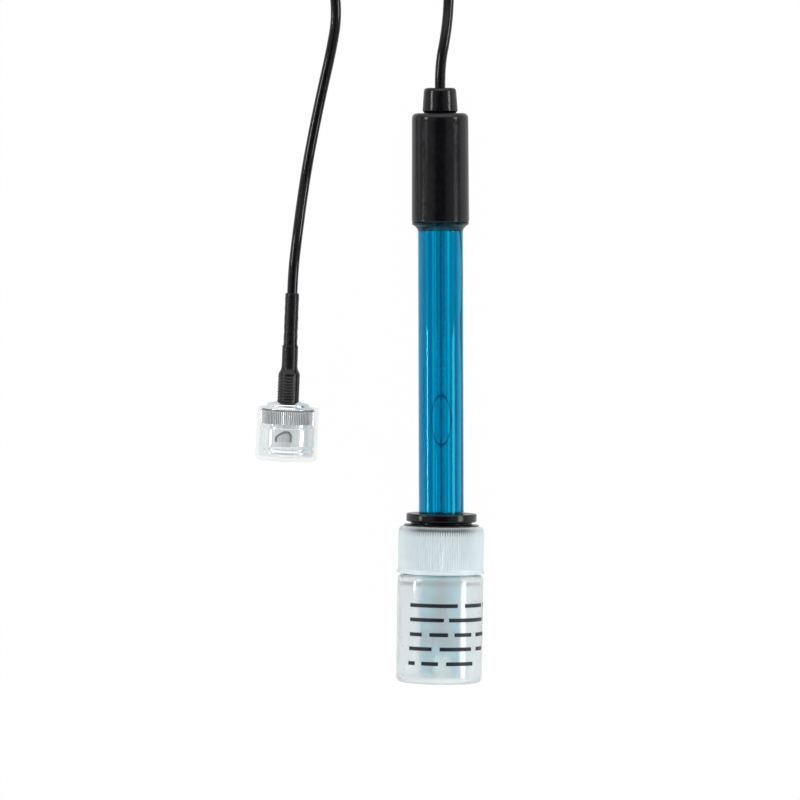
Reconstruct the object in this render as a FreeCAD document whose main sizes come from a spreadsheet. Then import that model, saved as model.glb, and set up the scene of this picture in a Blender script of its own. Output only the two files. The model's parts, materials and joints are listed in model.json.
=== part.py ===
"""Redox electrode with its storage bottle, signal cord and bayonet plug, lying on a table.

The electrode is turned about one axis, called the stack here. Heights along the stack are measured
from the underside of the storage bottle, and grow towards the cord. On the table the stack points
along +Y and dips a little towards the head, because the bottle's cap is wider than the head.
The plug has an axis of its own. Its heights are measured from the front face of the coupling nut
and grow towards the cord. All sizes are in millimetres.
"""
import FreeCAD, Part
import math
import os

import Sketcher
from FreeCAD import Placement, Rotation, Vector

SIZES = {
    "electrode": {
        "barrel_dia": 12.0,
        "barrel_len": 120.0,
        "barrel_wall": 1.1,
        "guard_len": 8.0,
        "guard_wall": 1.6,
        "guard_round": 0.5,
        "window_wide": 4.0,
        "window_high": 5.5,
        "window_round": 1.8,
        "collar_dia": 15.2,
        "collar_thick": 0.4,
        "flare_round": 1.6,
        "spigot_dia": 13.0,
        "spigot_len": 9.0,
        "stop_groove_wide": 0.9,
        "stop_groove_depth": 0.2,
        "stop_groove_rise": 0.35,
        "oval_wide": 6.8,
        "oval_long": 14.2,
        "oval_depth": 0.25,
        "oval_drop": 52.3,
        "plug_thick": 3.0,
        "seal_thick": 4.0,
        "stem_dia": 3.0,
        "stem_wall": 0.6,
        "stem_tip_gap": 6.0,
        "stem_sealed": 4.0,
        "stem_round": 0.75,
        "stem_stand": 3.0,
        "pin_dia": 1.0,
        "pin_stand": 3.5,
        "pin_round": 0.4,
        "lead_dia": 0.5,
        "lead_stand": 8.7,
        "junction_dia": 1.5,
        "junction_stand": 0.4,
        "element_gap": 0.25,
        "reference_dia": 0.6,
        "reference_len": 58.0,
        "reference_wave": 0.35,
        "reference_bends": 9,
        "gel_headroom": 1.0,
    },
    "head": {
        "head_dia": 15.25,
        "head_top_dia": 15.0,
        "head_len": 29.1,
        "head_wall": 2.5,
        "head_round": 1.6,
        "head_edge": 0.3,
        "potting_len": 6.0,
        "bush_dia": 9.4,
        "bush_top_dia": 8.5,
        "bush_len": 6.7,
        "bush_round": 1.0,
        "bush_groove": 0.4,
        "bush_neck_dia": 7.2,
        "bush_flange_dia": 10.4,
        "bush_flange_thick": 1.5,
        "cord_inside": 2.9,
        "core_dia": 0.9,
        "shield_dia": 0.7,
        "shield_place": 0.95,
    },
    "storage": {
        "bottle_dia": 22.8,
        "bottle_high": 28.8,
        "bottle_wall": 1.3,
        "bottle_floor": 1.4,
        "bottle_round": 1.8,
        "inner_round": 1.2,
        "punt_inset": 3.4,
        "punt_depth": 0.5,
        "shoulder_thick": 2.2,
        "neck_inset": 2.2,
        "neck_wall": 1.3,
        "tip_gap": 0.9,
        "lip_gap": 0.3,
        "cap_wall": 1.675,
        "cap_high": 12.6,
        "cap_plate": 1.6,
        "cap_edge_wide": 0.5,
        "cap_edge_high": 1.0,
        "lip_stand": 0.275,
        "lip_high": 0.8,
        "lip_flare": 1.1,
        "thread_gap": 0.5,
        "rib_count": 96,
        "rib_depth": 0.22,
        "rib_groove_wide": 0.62,
        "gland_rim": 1.95,
        "gland_thick": 2.2,
        "gland_round": 0.7,
        "gland_wall": 1.24,
        "gland_neck_seen": 1.1,
        "gland_clear": 1.0,
        "gland_flange_thick": 1.5,
        "ring_thick": 1.6,
        "ring_clear": 0.8,
        "solution_gap": 0.1,
        "solution_depth": 2.3,
    },
    "plug": {
        "nut_dia": 14.4,
        "nut_len": 12.3,
        "nut_bore": 9.9,
        "nut_round": 0.5,
        "knurl_len": 3.7,
        "knurl_count": 36,
        "knurl_depth": 0.35,
        "knurl_groove_wide": 0.96,
        "ring_groove_wide": 1.1,
        "ring_groove_depth": 0.45,
        "front_groove_wide": 0.9,
        "front_groove_place": 2.2,
        "bayonet_wide": 2.1,
        "bayonet_entry": 4.2,
        "bayonet_climb": 2.4,
        "contact_dia": 8.1,
        "contact_wall": 0.55,
        "contact_stand": 1.5,
        "contact_slit": 0.4,
        "collar_place": 8.2,
        "collar_wide": 9.5,
        "collar_len": 1.0,
        "spring_room": 1.1,
        "spring_thick": 0.15,
        "spring_waves": 3,
        "washer_thick": 0.3,
        "waist_dia": 7.8,
        "shoulder_dia": 11.2,
        "shoulder_len": 1.5,
        "tail_dia": 3.6,
        "tail_len": 3.0,
        "insulator_dia": 6.2,
        "insulator_front": 3.2,
        "contact_pin_dia": 1.3,
        "contact_pin_front": 1.2,
        "contact_pin_len": 11.0,
        "contact_pin_taper": 0.7,
        "gasket_thick": 0.9,
        "gasket_wall": 0.6,
        "ferrule_dia": 4.9,
        "ferrule_len": 7.6,
        "cover_wall": 0.85,
        "cover_end": 1.1,
        "cover_len": 14.1,
        "cover_round": 0.8,
        "shrink_dia": 5.75,
        "shrink_neck_dia": 4.2,
        "shrink_len": 15.5,
        "shrink_step": 7.9,
        "shrink_slope": 1.4,
        "marker_dia": 3.7,
        "marker_len": 16.5,
        "marker_lap": 2.6,
        "plug_across": -41.25,
        "plug_along": -18.7,
        "plug_lean": 2.4,
    },
    "cord": {
        "cord_dia": 2.8,
        "cord_lift": 1.45,
        "cord_straight": 6.0,
        "coil_across": -13.0,
        "coil_along": 132.0,
        "coil_middle_dia": 33.2,
        "coil_columns": 4,
        "coil_layers": 2,
        "coil_slack": 0.1,
        "coil_bevel": 0.8,
        "coil_start": 15.0,
        "coil_stub": 11.6,
        "tie_wide": 4.0,
        "tie_thick": 0.6,
    },
    "fits": {
        "seat_gap": 0.03,
        "gland_gap": 0.16,
        "turning_gap": 0.1,
        "cover_gap": 0.12,
        "bottle_yaw": 1.1,
    },
}

doc = FreeCAD.newDocument("redox_electrode")
sheet = doc.addObject("Spreadsheet::Sheet", "Sizes")


def fill_sheet():
    """Write every driving size into the spreadsheet, one row each."""
    row = 0
    for group in SIZES.values():
        for alias, value in group.items():
            row += 1
            sheet.set(f"A{row}", alias)
            sheet.set(f"B{row}", str(value))
            sheet.setAlias(f"B{row}", alias)
    doc.recompute()


class Length:
    """A number that remembers the spreadsheet formula it comes from."""

    def __init__(self, value, formula):
        self.value = value
        self.formula = formula

    def _join(self, sign, other, value):
        formula = other.formula if isinstance(other, Length) else repr(other)
        return Length(value, f"({self.formula} {sign} {formula})")

    def __add__(self, other):
        return self._join("+", other, self.value + number(other))

    def __sub__(self, other):
        return self._join("-", other, self.value - number(other))

    def __mul__(self, other):
        return self._join("*", other, self.value * number(other))

    def __truediv__(self, other):
        return self._join("/", other, self.value / number(other))

    def __neg__(self):
        return Length(-self.value, f"(-{self.formula})")


def number(length):
    return length.value if isinstance(length, Length) else float(length)


class Book:
    """Reads a size from the spreadsheet by its name."""

    def __getattr__(self, alias):
        return Length(float(getattr(sheet, alias)), f"Sizes.{alias}")


fill_sheet()
size = Book()
AXIS = Length(0.0, "0")

# Heights along the stack, each from the sizes of what lies under it
tip = size.bottle_floor + size.tip_gap
step = tip + size.guard_len
plug_top = step + size.plug_thick
collar = tip + size.barrel_len
spigot_top = collar + size.spigot_len
seal_low = spigot_top - size.seal_thick
stem_low = tip + size.stem_tip_gap
stem_hollow = stem_low + size.stem_sealed
potting_top = spigot_top + size.potting_len
stem_top = spigot_top + size.stem_stand
lead_top = spigot_top + size.lead_stand
head_top = collar + size.head_len
head_inside = head_top - size.head_wall
cord_low = head_inside - size.cord_inside
bush_top = head_top + size.bush_len
lip_low = size.bottle_high + size.lip_gap
cap_top = lip_low + size.cap_high
plate_low = cap_top - size.cap_plate
gland_low = plate_low - size.gland_flange_thick
mouth = gland_low - size.ring_thick
gland_seat = cap_top + size.gland_neck_seen
gland_top = gland_seat + size.gland_thick
groove_top = gland_top + size.stop_groove_rise
oval_mid = collar - size.oval_drop

# Radii that several pieces share
barrel_r = size.barrel_dia / 2
bore_r = barrel_r - size.barrel_wall
neck_r = size.bottle_dia / 2 - size.neck_inset
cavity_r = size.bottle_dia / 2 - size.bottle_wall
neck_bore_r = neck_r - size.neck_wall
skirt_r = neck_r + size.thread_gap
cap_r = skirt_r + size.cap_wall
lip_r = cap_r + size.lip_stand
flange_r = skirt_r - size.gland_clear
gland_neck_r = barrel_r + size.gland_gap + size.gland_wall
cord_r = size.cord_dia / 2
element_place = barrel_r - size.guard_wall - size.junction_dia / 2 - size.element_gap


def attach(body, sketch, plane, lift=None):
    """Lay a sketch on one of its body's origin planes, lifted along that plane's normal."""
    face = next(f for f in body.Origin.OriginFeatures if f.Role == plane)
    sketch.AttachmentSupport = [(face, "")]
    sketch.MapMode = "FlatFace"
    if lift is not None:
        sketch.AttachmentOffset = Placement(Vector(0, 0, number(lift)), Rotation())
        sketch.setExpression("AttachmentOffset.Base.z", lift.formula)


def bind(sketch, kind, places, length):
    """Add a constraint whose value follows the spreadsheet."""
    tie = sketch.addConstraint(Sketcher.Constraint(kind, *places, number(length)))
    sketch.setExpression(f"Constraints[{tie}]", length.formula)


def pin_point(sketch, piece, end, across, along):
    """Tie one end of a sketch line or arc to its place on the sheet."""
    for kind, axis, length in (("DistanceX", -2, across), ("DistanceY", -1, along)):
        if number(length) == 0:
            sketch.addConstraint(Sketcher.Constraint("PointOnObject", piece, end, axis))
        else:
            bind(sketch, kind, (-1, 1, piece, end), length)


def towards(corner, neighbour, radius):
    """The point of a corner's side that lies one radius from it. The side lies along an axis."""
    across, along = corner[0], corner[1]
    reach_x = number(neighbour[0]) - number(across)
    reach_y = number(neighbour[1]) - number(along)
    if abs(reach_x) > abs(reach_y):
        return (across + radius if reach_x > 0 else across - radius, along)
    return (across, along + radius if reach_y > 0 else along - radius)


def flat_point(stop):
    return Vector(number(stop[0]), number(stop[1]), 0)


def outline_stops(outline):
    """The outline's ends of lines and arcs. An arc's start also carries its rounded corner."""
    stops = []
    for i, corner in enumerate(outline):
        if len(corner) == 2:
            stops.append((corner[0], corner[1], None))
            continue
        stops.append((*towards(corner, outline[i - 1], corner[2]), corner))
        stops.append((*towards(corner, outline[(i + 1) % len(outline)], corner[2]), None))
    kept = []
    for i, stop in enumerate(stops):
        following = stops[(i + 1) % len(stops)]
        if stop[2] is not None or (flat_point(stop) - flat_point(following)).Length > 1e-6:
            kept.append(stop)
    return kept


def draw(sketch, outline):
    """Draw a closed outline. A corner with a third value is rounded by that radius."""
    stops = outline_stops(outline)
    total = len(stops)
    pieces = []
    ends = []
    for i, stop in enumerate(stops):
        start = flat_point(stop)
        end = flat_point(stops[(i + 1) % total])
        order = (1, 2)
        if stop[2] is None:
            curve = Part.LineSegment(start, end)
        else:
            apex = flat_point(stop[2])
            centre = start + end - apex
            middle = centre + (apex - centre).normalize() * number(stop[2][2])
            if (start - centre).cross(end - centre).z < 0:
                order = (2, 1)
                start, end = end, start
            curve = Part.Arc(start, middle, end)
        pieces.append(sketch.addGeometry(curve, False))
        ends.append(order)
    for i, piece in enumerate(pieces):
        after = (i + 1) % total
        sketch.addConstraint(
            Sketcher.Constraint("Coincident", piece, ends[i][1], pieces[after], ends[after][0])
        )
        pin_point(sketch, piece, ends[i][0], stops[i][0], stops[i][1])
        if stops[i][2] is not None:
            bind(sketch, "Radius", (piece,), stops[i][2][2])


def turned(name, outline):
    """A body turned about the stack from its half section."""
    body = doc.addObject("PartDesign::Body", name)
    add_turning(body, outline)
    return body


def add_turning(body, outline, label="turning"):
    sketch = body.newObject("Sketcher::SketchObject", f"{body.Name}_{label}_section")
    attach(body, sketch, "XZ_Plane")
    draw(sketch, outline)
    turning = body.newObject("PartDesign::Revolution", f"{body.Name}_{label}")
    turning.Profile = sketch
    turning.ReferenceAxis = (sketch, ["V_Axis"])
    turning.Angle = 360
    doc.recompute()
    return turning


def cut(body, sketch, depth, up=True, both=False):
    """Cut a sketch into its body and make sure that material went."""
    before = body.Shape.Volume
    pocket = body.newObject("PartDesign::Pocket", f"{sketch.Name}_cut")
    pocket.Profile = sketch
    pocket.Length = number(depth)
    pocket.setExpression("Length", depth.formula)
    pocket.Reversed = up
    pocket.Midplane = both
    doc.recompute()
    if body.Shape.Volume > before - 1e-6:
        raise RuntimeError(f"{sketch.Name} cuts nothing from {body.Label}")
    return pocket


def drill(body, name, across, dia, depth):
    """A round hole beside the stack, from its foot upwards."""
    sketch = body.newObject("Sketcher::SketchObject", f"{body.Name}_{name}")
    attach(body, sketch, "XY_Plane")
    centre = Vector(number(across), 0, 0)
    circle = sketch.addGeometry(
        Part.Circle(centre, Vector(0, 0, 1), number(dia) / 2), False
    )
    pin_point(sketch, circle, 3, across, AXIS)
    bind(sketch, "Diameter", (circle,), dia)
    doc.recompute()
    return cut(body, sketch, depth)


def repeat_round(body, feature, count, angle=360):
    """Repeat a feature round the stack, which is the upright of a side sketch or a flat's normal."""
    sketch = feature.Profile[0]
    upright = sketch.AttachmentSupport[0][0].Role != "XY_Plane"
    pattern = body.newObject("PartDesign::PolarPattern", f"{feature.Name}_round")
    pattern.Originals = [feature]
    pattern.Axis = (sketch, ["V_Axis" if upright else "N_Axis"])
    pattern.Angle = angle
    pattern.Occurrences = round(number(count))
    if isinstance(count, Length):
        pattern.setExpression("Occurrences", count.formula)
    body.Tip = pattern
    doc.recompute()
    return pattern


def make_barrel():
    """Clear tube with a slotted guard, a stop groove under the gland, a recess and a collar."""
    guard_bore = barrel_r - size.guard_wall
    body = turned(
        "body_tube",
        [
            (guard_bore, tip),
            (barrel_r, tip, size.guard_round),
            (barrel_r, groove_top - size.stop_groove_wide),
            (barrel_r - size.stop_groove_depth, groove_top - size.stop_groove_wide),
            (barrel_r - size.stop_groove_depth, groove_top),
            (barrel_r, groove_top),
            (barrel_r, collar - size.collar_thick, size.flare_round),
            (size.collar_dia / 2, collar - size.collar_thick),
            (size.collar_dia / 2, collar),
            (size.spigot_dia / 2, collar),
            (size.spigot_dia / 2, spigot_top),
            (bore_r, spigot_top),
            (bore_r, step),
            (guard_bore, step),
        ],
    )
    window = body.newObject("Sketcher::SketchObject", "guard_window")
    attach(body, window, "XZ_Plane")
    half = size.window_wide / 2
    sill = tip - size.tip_gap
    draw(
        window,
        [
            (-half, sill),
            (half, sill),
            (half, tip + size.window_high, size.window_round),
            (-half, tip + size.window_high, size.window_round),
        ],
    )
    window_cut = cut(body, window, size.barrel_dia * 2, both=True)
    repeat_round(body, window_cut, 2, 90)
    make_oval(body)
    return body


def make_oval(body):
    """Recess of one depth on the curved face: cut through the wall, then lined again inside."""
    oval = body.newObject("Sketcher::SketchObject", "oval_recess")
    attach(body, oval, "XZ_Plane")
    ellipse = Part.Ellipse(
        Vector(0, number(oval_mid + size.oval_long / 2), 0),
        Vector(number(size.oval_wide / 2), number(oval_mid), 0),
        Vector(0, number(oval_mid), 0),
    )
    oval.addGeometry(ellipse, False)
    oval.exposeInternalGeometry(0)
    pin_point(oval, 0, 3, AXIS, oval_mid)
    for line, length in ((1, size.oval_long), (2, size.oval_wide)):
        bind(oval, "Distance", (line, 1, line, 2), length)
    oval.addConstraint(Sketcher.Constraint("Vertical", 1))
    doc.recompute()
    cut(body, oval, size.barrel_dia, up=False)
    low = oval_mid - size.oval_long
    high = oval_mid + size.oval_long
    floor_r = barrel_r - size.oval_depth
    add_turning(body, [(bore_r, low), (floor_r, low), (floor_r, high), (bore_r, high)], "lining")


def make_head():
    """Black head cap over the spigot, with a hole for the cord's bush."""
    inside = size.spigot_dia / 2 + size.seat_gap
    hole = size.bush_neck_dia / 2 + size.seat_gap
    return turned(
        "head_cap",
        [
            (inside, collar),
            (size.head_dia / 2 - size.head_edge, collar),
            (size.head_dia / 2, collar + size.head_edge),
            (size.head_top_dia / 2, head_top, size.head_round),
            (hole, head_top),
            (hole, head_inside),
            (inside, head_inside),
        ],
    )


def make_bush():
    """Rubber bush that grips the cord where it leaves the head."""
    bore = cord_r + size.seat_gap
    foot = size.bush_dia / 2
    return turned(
        "cable_bush",
        [
            (bore, head_inside - size.bush_flange_thick),
            (size.bush_flange_dia / 2, head_inside - size.bush_flange_thick),
            (size.bush_flange_dia / 2, head_inside),
            (size.bush_neck_dia / 2, head_inside),
            (size.bush_neck_dia / 2, head_top),
            (foot - size.bush_groove, head_top),
            (foot - size.bush_groove, head_top + size.bush_groove),
            (foot, head_top + size.bush_groove),
            (size.bush_top_dia / 2, bush_top, size.bush_round),
            (bore, bush_top),
        ],
    )


def rod(name, radius, low, high, round_end=None):
    """A plain round rod on the stack's axis, rounded at its lower end where asked."""
    foot = (radius, low) if round_end is None else (radius, low, round_end)
    return turned(name, [(AXIS, low), foot, (radius, high), (AXIS, high)])


def make_inner_parts():
    """What the clear tube holds: stem, platinum, reference element, seals and potting."""
    stem_r = size.stem_dia / 2
    stem_hole = size.stem_dia + size.seat_gap * 2
    wire_hole = size.reference_dia + size.seat_gap * 2
    filling_r = bore_r - size.seat_gap
    parts = {}
    parts["glass_stem"] = turned(
        "glass_stem",
        [
            (size.pin_dia / 2 + size.seat_gap, stem_low),
            (stem_r, stem_low, size.stem_round),
            (stem_r, stem_top),
            (stem_r - size.stem_wall, stem_top),
            (stem_r - size.stem_wall, stem_hollow),
            (size.pin_dia / 2 + size.seat_gap, stem_hollow),
        ],
    )
    parts["platinum_pin"] = rod(
        "platinum_pin",
        size.pin_dia / 2,
        stem_low - size.pin_stand,
        stem_hollow,
        size.pin_round,
    )
    parts["platinum_lead"] = rod("platinum_lead", size.lead_dia / 2, stem_hollow, lead_top)
    plug = rod("bottom_plug", filling_r, step, plug_top)
    drill(plug, "stem_hole", AXIS, stem_hole, plug_top * 2)
    drill(
        plug,
        "junction_hole",
        -element_place,
        size.junction_dia + size.seat_gap * 2,
        plug_top * 2,
    )
    parts["bottom_plug"] = plug
    seal = rod("upper_seal", filling_r, seal_low, spigot_top)
    drill(seal, "stem_hole", AXIS, stem_hole, spigot_top * 2)
    drill(seal, "wire_hole", element_place, wire_hole, spigot_top * 2)
    parts["upper_seal"] = seal
    potting = rod("potting", size.spigot_dia / 2, spigot_top, potting_top)
    drill(potting, "stem_hole", AXIS, stem_hole, spigot_top * 2)
    drill(potting, "wire_hole", element_place, wire_hole, spigot_top * 2)
    parts["potting"] = potting
    parts["reference_junction"] = rod(
        "reference_junction",
        size.junction_dia / 2,
        step - size.junction_stand,
        plug_top + size.junction_stand,
    )
    parts["signal_core"] = rod("signal_core", size.core_dia / 2, lead_top, cord_low)
    parts["cord_entry"] = rod("cord_entry", cord_r, cord_low, bush_top)
    gel = rod("gel_block", filling_r, plug_top, seal_low - size.gel_headroom)
    drill(gel, "stem_hole", AXIS, stem_hole, spigot_top * 2)
    drill(
        gel,
        "junction_hole",
        -element_place,
        size.junction_dia + size.seat_gap * 2,
        plug_top + size.junction_stand,
    )
    parts["gel_block"] = gel
    return parts


def make_gland():
    """Spool-shaped gland that holds the bottle's cap on the barrel, and its sealing ring."""
    bore = barrel_r + size.gland_gap
    rim = gland_neck_r + size.gland_rim
    gland = turned(
        "gland_ring",
        [
            (bore, gland_low),
            (flange_r, gland_low),
            (flange_r, plate_low),
            (gland_neck_r, plate_low),
            (gland_neck_r, gland_seat),
            (rim, gland_seat, size.gland_round),
            (rim, gland_top, size.gland_round),
            (bore, gland_top),
        ],
    )
    ring = turned(
        "sealing_ring",
        [
            (bore, mouth),
            (skirt_r - size.ring_clear, mouth),
            (skirt_r - size.ring_clear, gland_low),
            (bore, gland_low),
        ],
    )
    return gland, ring


def make_cap():
    """Screw cap of the bottle: ribbed skirt, lip at its foot and a hole for the gland."""
    hole = gland_neck_r + size.seat_gap
    body = turned(
        "bottle_cap",
        [
            (skirt_r, lip_low),
            (lip_r, lip_low),
            (lip_r, lip_low + size.lip_high),
            (cap_r, lip_low + size.lip_high + size.lip_flare),
            (cap_r, cap_top - size.cap_edge_high),
            (cap_r - size.cap_edge_wide, cap_top),
            (hole, cap_top),
            (hole, plate_low),
            (skirt_r, plate_low),
        ],
    )
    groove = body.newObject("Sketcher::SketchObject", "rib_groove")
    attach(body, groove, "XY_Plane", lip_low + size.lip_high + size.lip_flare)
    half = size.rib_groove_wide / 2
    draw(groove, [(cap_r - size.rib_depth, AXIS), (lip_r, half), (lip_r, -half)])
    groove_cut = cut(body, groove, size.cap_high)
    repeat_round(body, groove_cut, size.rib_count)
    return body


def make_bottle():
    """Storage bottle with a rounded shoulder, a neck and a hollowed underside."""
    side = size.bottle_dia / 2
    punt = side - size.punt_inset
    ceiling = size.bottle_high - size.shoulder_thick
    return turned(
        "storage_bottle",
        [
            (AXIS, size.punt_depth),
            (punt, size.punt_depth),
            (punt + size.punt_depth, AXIS),
            (side, AXIS, size.bottle_round),
            (side, size.bottle_high, side - neck_r),
            (neck_r, size.bottle_high),
            (neck_r, mouth),
            (neck_bore_r, mouth),
            (neck_bore_r, ceiling),
            (cavity_r, ceiling, size.inner_round),
            (cavity_r, size.bottle_floor, size.inner_round),
            (AXIS, size.bottle_floor),
        ],
    )


def make_solution():
    """Storage solution that fills the bottle's inside, before its free surface is cut level."""
    gap = size.solution_gap
    ceiling = size.bottle_high - size.shoulder_thick - gap
    wall = cavity_r - gap
    neck = neck_bore_r - gap
    return turned(
        "solution_fill",
        [
            (AXIS, size.bottle_floor + gap),
            (wall, size.bottle_floor + gap, size.inner_round),
            (wall, ceiling, size.inner_round),
            (neck, ceiling),
            (neck, mouth - gap),
            (AXIS, mouth - gap),
        ],
    )


# Heights on the plug, from the front of its coupling nut
collar_back = size.collar_place + size.collar_len
washer_front = collar_back + size.spring_room
nut_flange = washer_front + size.washer_thick
shoulder_front = size.nut_len + size.turning_gap
shoulder_back = shoulder_front + size.shoulder_len
tail_back = shoulder_back + size.tail_len
ferrule_front = shoulder_back
ferrule_back = ferrule_front + size.ferrule_len
shrink_front = ferrule_front
shrink_back = shrink_front + size.shrink_len
marker_front = shrink_back - size.marker_lap
marker_back = marker_front + size.marker_len
pin_back = size.contact_pin_front + size.contact_pin_len
cover_r = size.nut_dia / 2 + size.cover_gap + size.cover_wall


def make_nut():
    """Coupling nut: knurled grip, ring groove, bayonet slots and a flange inside its back."""
    side = size.nut_dia / 2
    knurl_low = size.nut_len - size.knurl_len
    groove_low = knurl_low - size.ring_groove_wide
    front_low = size.front_groove_place - size.front_groove_wide
    deep = side - size.ring_groove_depth
    body = turned(
        "plug_sleeve",
        [
            (size.nut_bore / 2, AXIS),
            (side - size.nut_round, AXIS),
            (side, size.nut_round),
            (side, front_low),
            (deep, front_low + size.ring_groove_depth),
            (deep, size.front_groove_place),
            (side, size.front_groove_place + size.ring_groove_depth),
            (side, groove_low),
            (deep, groove_low),
            (deep, knurl_low),
            (side, knurl_low),
            (side, size.nut_len - size.nut_round),
            (side - size.nut_round, size.nut_len),
            (size.waist_dia / 2 + size.turning_gap, size.nut_len),
            (size.waist_dia / 2 + size.turning_gap, nut_flange),
            (size.nut_bore / 2, nut_flange),
        ],
    )
    groove = body.newObject("Sketcher::SketchObject", "knurl_groove")
    attach(body, groove, "XY_Plane", knurl_low)
    half = size.knurl_groove_wide / 2
    outside = side + size.knurl_depth
    draw(groove, [(side - size.knurl_depth, AXIS), (outside, half), (outside, -half)])
    groove_cut = cut(body, groove, size.knurl_len)
    repeat_round(body, groove_cut, size.knurl_count)
    make_bayonet(body)
    return body


def make_bayonet(body):
    """Two entry slots at the front, each with a ramp that climbs a quarter turn to a round seat."""
    half = size.bayonet_wide / 2
    entry = body.newObject("Sketcher::SketchObject", "bayonet_entry_slot")
    attach(body, entry, "XZ_Plane")
    draw(
        entry,
        [(-half, -half), (half, -half), (half, size.bayonet_entry), (-half, size.bayonet_entry)],
    )
    cut(body, entry, size.nut_dia * 2, both=True)
    seat = body.newObject("Sketcher::SketchObject", "bayonet_seat")
    attach(body, seat, "YZ_Plane")
    height = size.bayonet_entry + size.bayonet_climb - half
    circle = seat.addGeometry(
        Part.Circle(Vector(0, number(height), 0), Vector(0, 0, 1), number(half)), False
    )
    pin_point(seat, circle, 3, AXIS, height)
    bind(seat, "Radius", (circle,), half)
    cut(body, seat, size.nut_dia * 2, both=True)
    ramp = body.newObject("Sketcher::SketchObject", "bayonet_ramp_section")
    attach(body, ramp, "YZ_Plane")
    inner = size.nut_bore / 2 - half
    outer = size.nut_dia / 2 + half
    foot = size.bayonet_entry - size.bayonet_wide
    draw(ramp, [(inner, foot), (outer, foot), (outer, size.bayonet_entry), (inner, size.bayonet_entry)])
    doc.recompute()
    before = body.Shape.Volume
    helix = body.newObject("PartDesign::SubtractiveHelix", "bayonet_ramp")
    helix.Profile = ramp
    helix.ReferenceAxis = (ramp, ["V_Axis"])
    helix.Mode = "height-turns-angle"
    helix.Turns = 0.25
    helix.Height = number(size.bayonet_climb)
    helix.setExpression("Height", size.bayonet_climb.formula)
    helix.Angle = 0
    doc.recompute()
    if body.Shape.Volume > before - 1e-6:
        raise RuntimeError("the bayonet ramp cuts nothing")
    repeat_round(body, helix, 2)
    return helix


def make_plug_parts():
    """The plug's own pieces, turned about its axis."""
    contact_r = size.contact_dia / 2
    contact_bore = contact_r - size.contact_wall
    insulator_hole = size.contact_pin_dia / 2 + size.seat_gap
    insulator_bore = size.insulator_dia / 2 + size.seat_gap
    parts = {}
    body = turned(
        "plug_body",
        [
            (contact_bore, size.contact_stand),
            (contact_r, size.contact_stand),
            (contact_r, size.collar_place),
            (size.collar_wide / 2, size.collar_place),
            (size.collar_wide / 2, collar_back),
            (size.waist_dia / 2, collar_back),
            (size.waist_dia / 2, shoulder_front),
            (size.shoulder_dia / 2, shoulder_front),
            (size.shoulder_dia / 2, shoulder_back, size.nut_round),
            (size.tail_dia / 2, shoulder_back),
            (size.tail_dia / 2, tail_back),
            (cord_r + size.seat_gap, tail_back),
            (cord_r + size.seat_gap, nut_flange),
            (insulator_bore, nut_flange),
            (insulator_bore, size.collar_place),
            (contact_bore, size.collar_place),
        ],
    )
    slit = body.newObject("Sketcher::SketchObject", "contact_slit")
    attach(body, slit, "XZ_Plane")
    half = size.contact_slit / 2
    top = size.collar_place - size.contact_wall * 2
    draw(slit, [(-half, AXIS), (half, AXIS), (half, top), (-half, top)])
    slit_cut = cut(body, slit, size.nut_dia, both=True)
    repeat_round(body, slit_cut, 2, 90)
    parts["plug_body"] = body
    insulator = turned(
        "plug_insulator",
        [
            (insulator_hole, size.insulator_front),
            (size.insulator_dia / 2, size.insulator_front),
            (size.insulator_dia / 2, nut_flange),
            (insulator_hole, nut_flange),
        ],
    )
    parts["plug_insulator"] = insulator
    pin_r = size.contact_pin_dia / 2
    parts["plug_pin"] = turned(
        "plug_pin",
        [
            (AXIS, size.contact_pin_front),
            (pin_r - size.contact_pin_taper / 2, size.contact_pin_front),
            (pin_r, size.contact_pin_front + size.contact_pin_taper),
            (pin_r, pin_back),
            (AXIS, pin_back),
        ],
    )
    gasket_in = contact_r + size.seat_gap
    parts["plug_gasket"] = turned(
        "plug_gasket",
        [
            (gasket_in, size.collar_place - size.gasket_thick),
            (gasket_in + size.gasket_wall, size.collar_place - size.gasket_thick),
            (gasket_in + size.gasket_wall, size.collar_place),
            (gasket_in, size.collar_place),
        ],
    )
    ring_in = size.waist_dia / 2 + size.turning_gap
    ring_out = size.nut_bore / 2 - size.turning_gap
    parts["plug_washer"] = turned(
        "plug_washer",
        [
            (ring_in, washer_front),
            (ring_out, washer_front),
            (ring_out, nut_flange),
            (ring_in, nut_flange),
        ],
    )
    parts["plug_spring"] = make_wave_ring(ring_in, ring_out, collar_back, washer_front)
    return parts


def make_wave_ring(ring_in, ring_out, low, high):
    """Wave spring between the body's collar and the thrust washer."""
    spring = doc.addObject("Part::Feature", "plug_spring")
    thick = number(size.spring_thick)
    lift = number(high) - number(low) - thick
    waves = round(number(size.spring_waves))
    steps = waves * 16
    rails = []
    for radius, up in ((ring_in, 0), (ring_out, 0), (ring_out, thick), (ring_in, thick)):
        points = []
        for i in range(steps):
            turn = 2 * math.pi * i / steps
            height = number(low) + up + lift * (1 - math.cos(waves * turn)) / 2
            points.append(
                Vector(number(radius) * math.cos(turn), number(radius) * math.sin(turn), height)
            )
        curve = Part.BSplineCurve()
        curve.interpolate(points, PeriodicFlag=True)
        rails.append(curve.toShape())
    faces = [Part.makeRuledSurface(rails[i], rails[(i + 1) % 4]) for i in range(4)]
    shell = Part.makeShell(faces)
    solid = Part.makeSolid(shell)
    if solid.Volume < 0:
        solid.reverse()
    spring.Shape = solid
    return spring


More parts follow.
